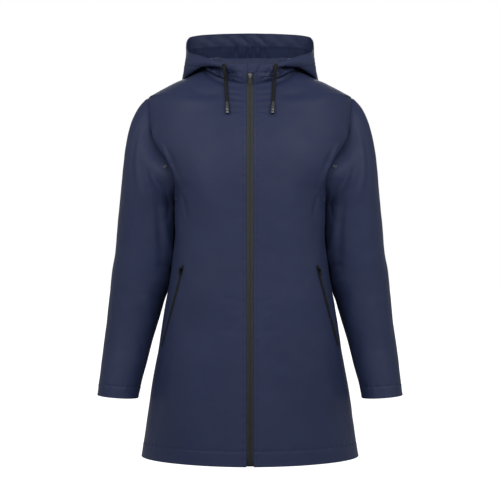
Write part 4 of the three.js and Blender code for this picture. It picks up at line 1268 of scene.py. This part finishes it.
HOOD_SIDE_CUT = {"flat": (0.33, 0.36), "area": 0.071}
make_cloth("hood_side_left_cloth", hood_part(0, MIDDLE_FROM), "hood_side_left",
           rests_on=["front_left", "back"], **HOOD_SIDE_CUT)
make_cloth("hood_side_right_cloth", hood_part(MIDDLE_TO, 2 * HOOD_PLACES), "hood_side_right",
           rests_on=["front_right", "back"], **HOOD_SIDE_CUT)
make_cloth("hood_middle_cloth", hood_part(MIDDLE_FROM, MIDDLE_TO), "hood_middle",
           flat=(0.078, 0.43), area=0.0325, rests_on=["back"])


def hood_line(value, inside):
    """A line on the hood at a distance from its rim, on its outer or its inner face."""
    line, out = upright_line(hood, hood.across - hood.across[:, -1:], -value)
    return (line - (CLOTH_THICK + 0.05) * out, -out) if inside else (line, out)


EDGE_ROW = 6.5
HOOD_HEM_ROW = HOOD_HEM_DEEP - 2.0
stitches("hood_hem_stitches", [hood_line(HOOD_HEM_ROW, True), hood_line(HOOD_HEM_ROW, False)])
stitches("hood_edge_stitches", [level_line(hood, hood.along, EDGE_ROW),
                                level_line(hood, hood.along - hood.along[-1:], -EDGE_ROW)])


# ---- front zip -------------------------------------------------------------------------------
# A reversed coil zip: two coated tapes sewn behind the front edges, which meet along the coil.
# The tape is matt charcoal, and the coil shows through it as a low ribbed ridge.
TAPE_IN = 0.0
TAPE_OUT = 12.0
TAPE_BACK = 2.0
ZIP_FOOT = HEM_Z + 1.5
ZIP_TOP = -18.5
COIL_PITCH = 0.0018

zip_coating, zip_tree, zip_shader = new_material("zip_coating", (0.040, 0.043, 0.041), 0.62, specular=0.22)
drift(zip_tree, zip_shader, "Roughness", 0.55, 0.68, 90.0)


def painted_shade_rise(tree, low, high):
    """How far up a place lies between two heights in metres, from 0 to 1, with a slight mottle: the mask of
    the zip tape's painted shade.
    """
    nodes, links = tree.nodes, tree.links
    place = nodes.new("ShaderNodeTexCoord")
    split = nodes.new("ShaderNodeSeparateXYZ")
    links.new(place.outputs["Object"], split.inputs["Vector"])
    share = nodes.new("ShaderNodeMapRange")
    share.inputs["From Min"].default_value = low
    share.inputs["From Max"].default_value = high
    links.new(split.outputs["Z"], share.inputs["Value"])
    mottle = nodes.new("ShaderNodeMath")
    mottle.operation = "MULTIPLY_ADD"
    mottle.inputs[1].default_value = 0.3
    links.new(grain(tree, 60.0), mottle.inputs[0])
    links.new(share.outputs["Result"], mottle.inputs[2])
    return mottle.outputs["Value"]


# Painted shade and light: the tape is painted darker towards the hem and lighter higher up, as the light
# falls on it, with a slight real mottle.
painted_shade_by_height(zip_tree, zip_shader, painted_shade_rise(zip_tree, HEM_Z * MM, -0.25), (0.017, 0.018, 0.017), (0.043, 0.046, 0.044))
bump(zip_tree, zip_shader, [(bands(zip_tree, "Y", COIL_PITCH), 0.00025), (grain(zip_tree, 2500.0), 0.00005)])

front_edge = front_left.plain[:, 0, 1:]
hood_edge_line = hood_grid(1)[0][2:, 1:]
zip_line = np.concatenate([front_edge, hood_edge_line[hood_edge_line[:, 1] > front_edge[-1, 1] + 2]])
zip_rise = np.r_[np.arange(ZIP_FOOT, ZIP_TOP, 2.5), ZIP_TOP]
zip_y = np.interp(zip_rise, zip_line[:, 1], zip_line[:, 0])
zip_slope = np.gradient(zip_y, zip_rise)


def zip_tape(name, side):
    """One tape of the zip, a little behind the face of the cloth, with its half of the coil."""
    x = np.array([TAPE_IN, 0.4, 0.8, 1.3, 1.9, 2.5, 3.1, 3.8, 5.0, 6.5, 8.0, 10.0, TAPE_OUT])
    proud = bell(x - 1.4, 1.1) - 0.4 * bell(x - 3.6, 0.8) - 0.6 * bell(x - TAPE_IN, 0.25)
    back = TAPE_BACK - proud[None]
    y = zip_y[:, None] + back
    z = zip_rise[:, None] - zip_slope[:, None] * back
    points = np.stack(np.broadcast_arrays(x, y, z), axis=-1)
    tape = Panel(points) if side == "left" else Panel(points * (-1, 1, 1), flip=True)
    make_shell(name, tape, zip_coating, "zip_tape", f"zip_tape_{side}", thick=TAPE_THICK)


zip_tape("zip_tape_left_coated", "left")
zip_tape("zip_tape_right_coated", "right")

# The garage is a small tongue of cloth that the slider runs up under.
GARAGE_FOOT = np.array([
    [-4.4, -18.4], [-3.4, -19.2], [2, -19.4], [6, -18.8], [10, -17.0], [14, -13.2], [17.4, -7.5],
])
GARAGE_HEAD = 0.6
GARAGE_FACE = -89.2
garage_x = np.linspace(GARAGE_FOOT[0, 0], GARAGE_FOOT[-1, 0], 44)
garage_foot = through(GARAGE_FOOT, 1)(garage_x)
garage_rise = np.linspace(0, 1, 30)[:, None]
garage_z = garage_foot + (GARAGE_HEAD - garage_foot) * garage_rise
garage_bow = 0.5 * np.sin(np.pi * garage_rise) + 0.35 * bell(garage_rise - 0.05, 0.05)
garage = Panel(np.stack(np.broadcast_arrays(garage_x, GARAGE_FACE - garage_bow, garage_z), axis=-1))
make_shell("zip_garage_cloth", garage, body_cloth, "coated_cloth", "zip_garage")


# ---- pocket zips -----------------------------------------------------------------------------
# Slanting welt pockets: a narrow coated zip lies on each front between two stitched lips. Its
# coating is a darker charcoal than the front zip's.
POCKET_HALF = 4.6
LIP_STITCH = 7.8

DARK_COATING = (0.012, 0.013, 0.014)
dark_coating, dark_tree, dark_shader = new_material("dark_zip_coating", DARK_COATING, 0.6, specular=0.2)
drift(dark_tree, dark_shader, "Base Color", (0.009, 0.0095, 0.0105), (0.015, 0.016, 0.017), 80.0)
dark_coil = bands(dark_tree, "Y", COIL_PITCH)
bump(dark_tree, dark_shader, [(dark_coil, 0.0002), (grain(dark_tree, 2500.0), 0.00005)])


def on_pocket(panel, frames, share, aside, lift):
    """A point beside a pocket's opening: a share of the way down it, aside and out of the cloth."""
    points, across = frames
    i = int(round(share * POCKET_STEPS))
    edge = points[i] + across[i] * aside
    point, out = on_panel(panel, edge[0], edge[2])
    return point + out * lift, out


def pocket_zip(side, panel):
    frames = pocket_frames(panel)
    half = np.array([0.3, 0.7, 1.3, 1.9, 2.6, 3.6, POCKET_HALF])
    aside = np.r_[-half[::-1], 0, half]
    lift = 0.9 + 0.6 * bell(np.abs(aside) - 0.9, 0.8) - 0.5 * bell(aside, 0.2)
    shares = np.linspace(0, 1, 76)[::-1]
    rows = [[on_pocket(panel, frames, s, w, up)[0] for w, up in zip(-aside, lift)] for s in shares]
    return Panel(np.array(rows), flip=side < 0), frames


def pocket_stitches(panel, frames):
    lines = []
    for aside in (-LIP_STITCH, LIP_STITCH):
        both = [on_pocket(panel, frames, s, aside, 0.0) for s in np.linspace(0, 1, 90)]
        lines.append(tuple(np.array(part) for part in zip(*both)))
    return lines


# ---- sliders, pulls and zip box --------------------------------------------------------------
# Die-cast zinc, edges slightly rounded by the casting: polished on the front slider and dark on
# the rest. The pulls are flat tabs with a window that hang from the sliders' bridges. The box at
# the foot of the front zip is moulded in dark plastic.
CAST_CORNER = 35.0


def cast(node, name, body, material, edge=0.25):
    """The casting of a node: flat faces joined up, and edges sharper than CAST_CORNER rounded."""
    piece = bpy.data.objects.new(name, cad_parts[node].data.copy())
    bpy.context.collection.objects.link(piece)
    piece.data.materials.clear()
    piece.data.materials.append(material)
    edit(piece)
    bpy.ops.mesh.remove_doubles(threshold=0.000005)
    bpy.ops.mesh.dissolve_limited(angle_limit=np.radians(4))
    close_edit(CAST_CORNER)
    soft_edge = piece.modifiers.new("soft_edge", "BEVEL")
    soft_edge.width = edge * MM
    soft_edge.segments = 2
    soft_edge.limit_method = "ANGLE"
    soft_edge.angle_limit = np.radians(CAST_CORNER)
    apply_and_smooth(piece, soft_edge, CAST_CORNER)
    seat(piece, body, "dark_metal", node)


cast("zip_slider", "zip_slider_cast", "coat", polished_metal)
cast("zip_pull", "zip_pull_cast", "front_pull", dark_metal)
cast("zip_box", "zip_box_moulded", "coat", dark_coating)
for side, panel, sign in (("left", front_left, 1), ("right", front_right, -1)):
    strip, frames = pocket_zip(sign, panel)
    make_shell(f"pocket_zip_{side}_coated", strip, dark_coating, "zip_tape", f"pocket_zip_{side}",
               thick=TAPE_THICK)
    stitches(f"pocket_stitches_{side}", pocket_stitches(panel, frames))
    cast(f"pocket_slider_{side}", f"pocket_slider_{side}_cast", "coat", dark_metal, edge=0.18)
    cast(f"pocket_pull_{side}", f"pocket_pull_{side}_cast", f"pocket_pull_{side}", dark_metal, edge=0.16)


# ---- vent eyelets ----------------------------------------------------------------------------
# Small pressed nickel eyelets under each arm, one in the front and one in the sleeve.
VENT_RINGS = [
    (1.7, 0.2), (1.9, 0.0), (3.3, 0.0), (3.6, 0.3), (3.5, 0.7), (3.1, 1.0), (2.6, 1.1), (2.0, 0.9),
    (1.7, 0.6),
]
BODY_VENT = (155.0, -283.0)
SLEEVE_VENT = (177.0, -84.0, -212.0)
nickel = metal("nickel", (0.15, 0.15, 0.165), 0.28, 0.4)

sleeve_panel = sleeves["left"]
spot = np.linalg.norm(sleeve_panel.points - np.array(SLEEVE_VENT), axis=-1)
row, column = np.unravel_index(np.argmin(spot), spot.shape)
sleeve_seat = (sleeve_panel.points[row, column], sleeve_panel.out[row, column])
body_seat = on_panel(front_left, *BODY_VENT)
for name, (point, out) in (("vent_body", body_seat), ("vent_sleeve", sleeve_seat)):
    ring = turned(f"{name}_left_ring", nickel, VENT_RINGS, 30, hollow=True)
    place_at(ring, point, out)
    seat(ring, "coat", "eyelet", f"{name}_left")
    seat(mirror_copy(ring, f"{name}_right_ring"), "coat", "eyelet", f"{name}_right")
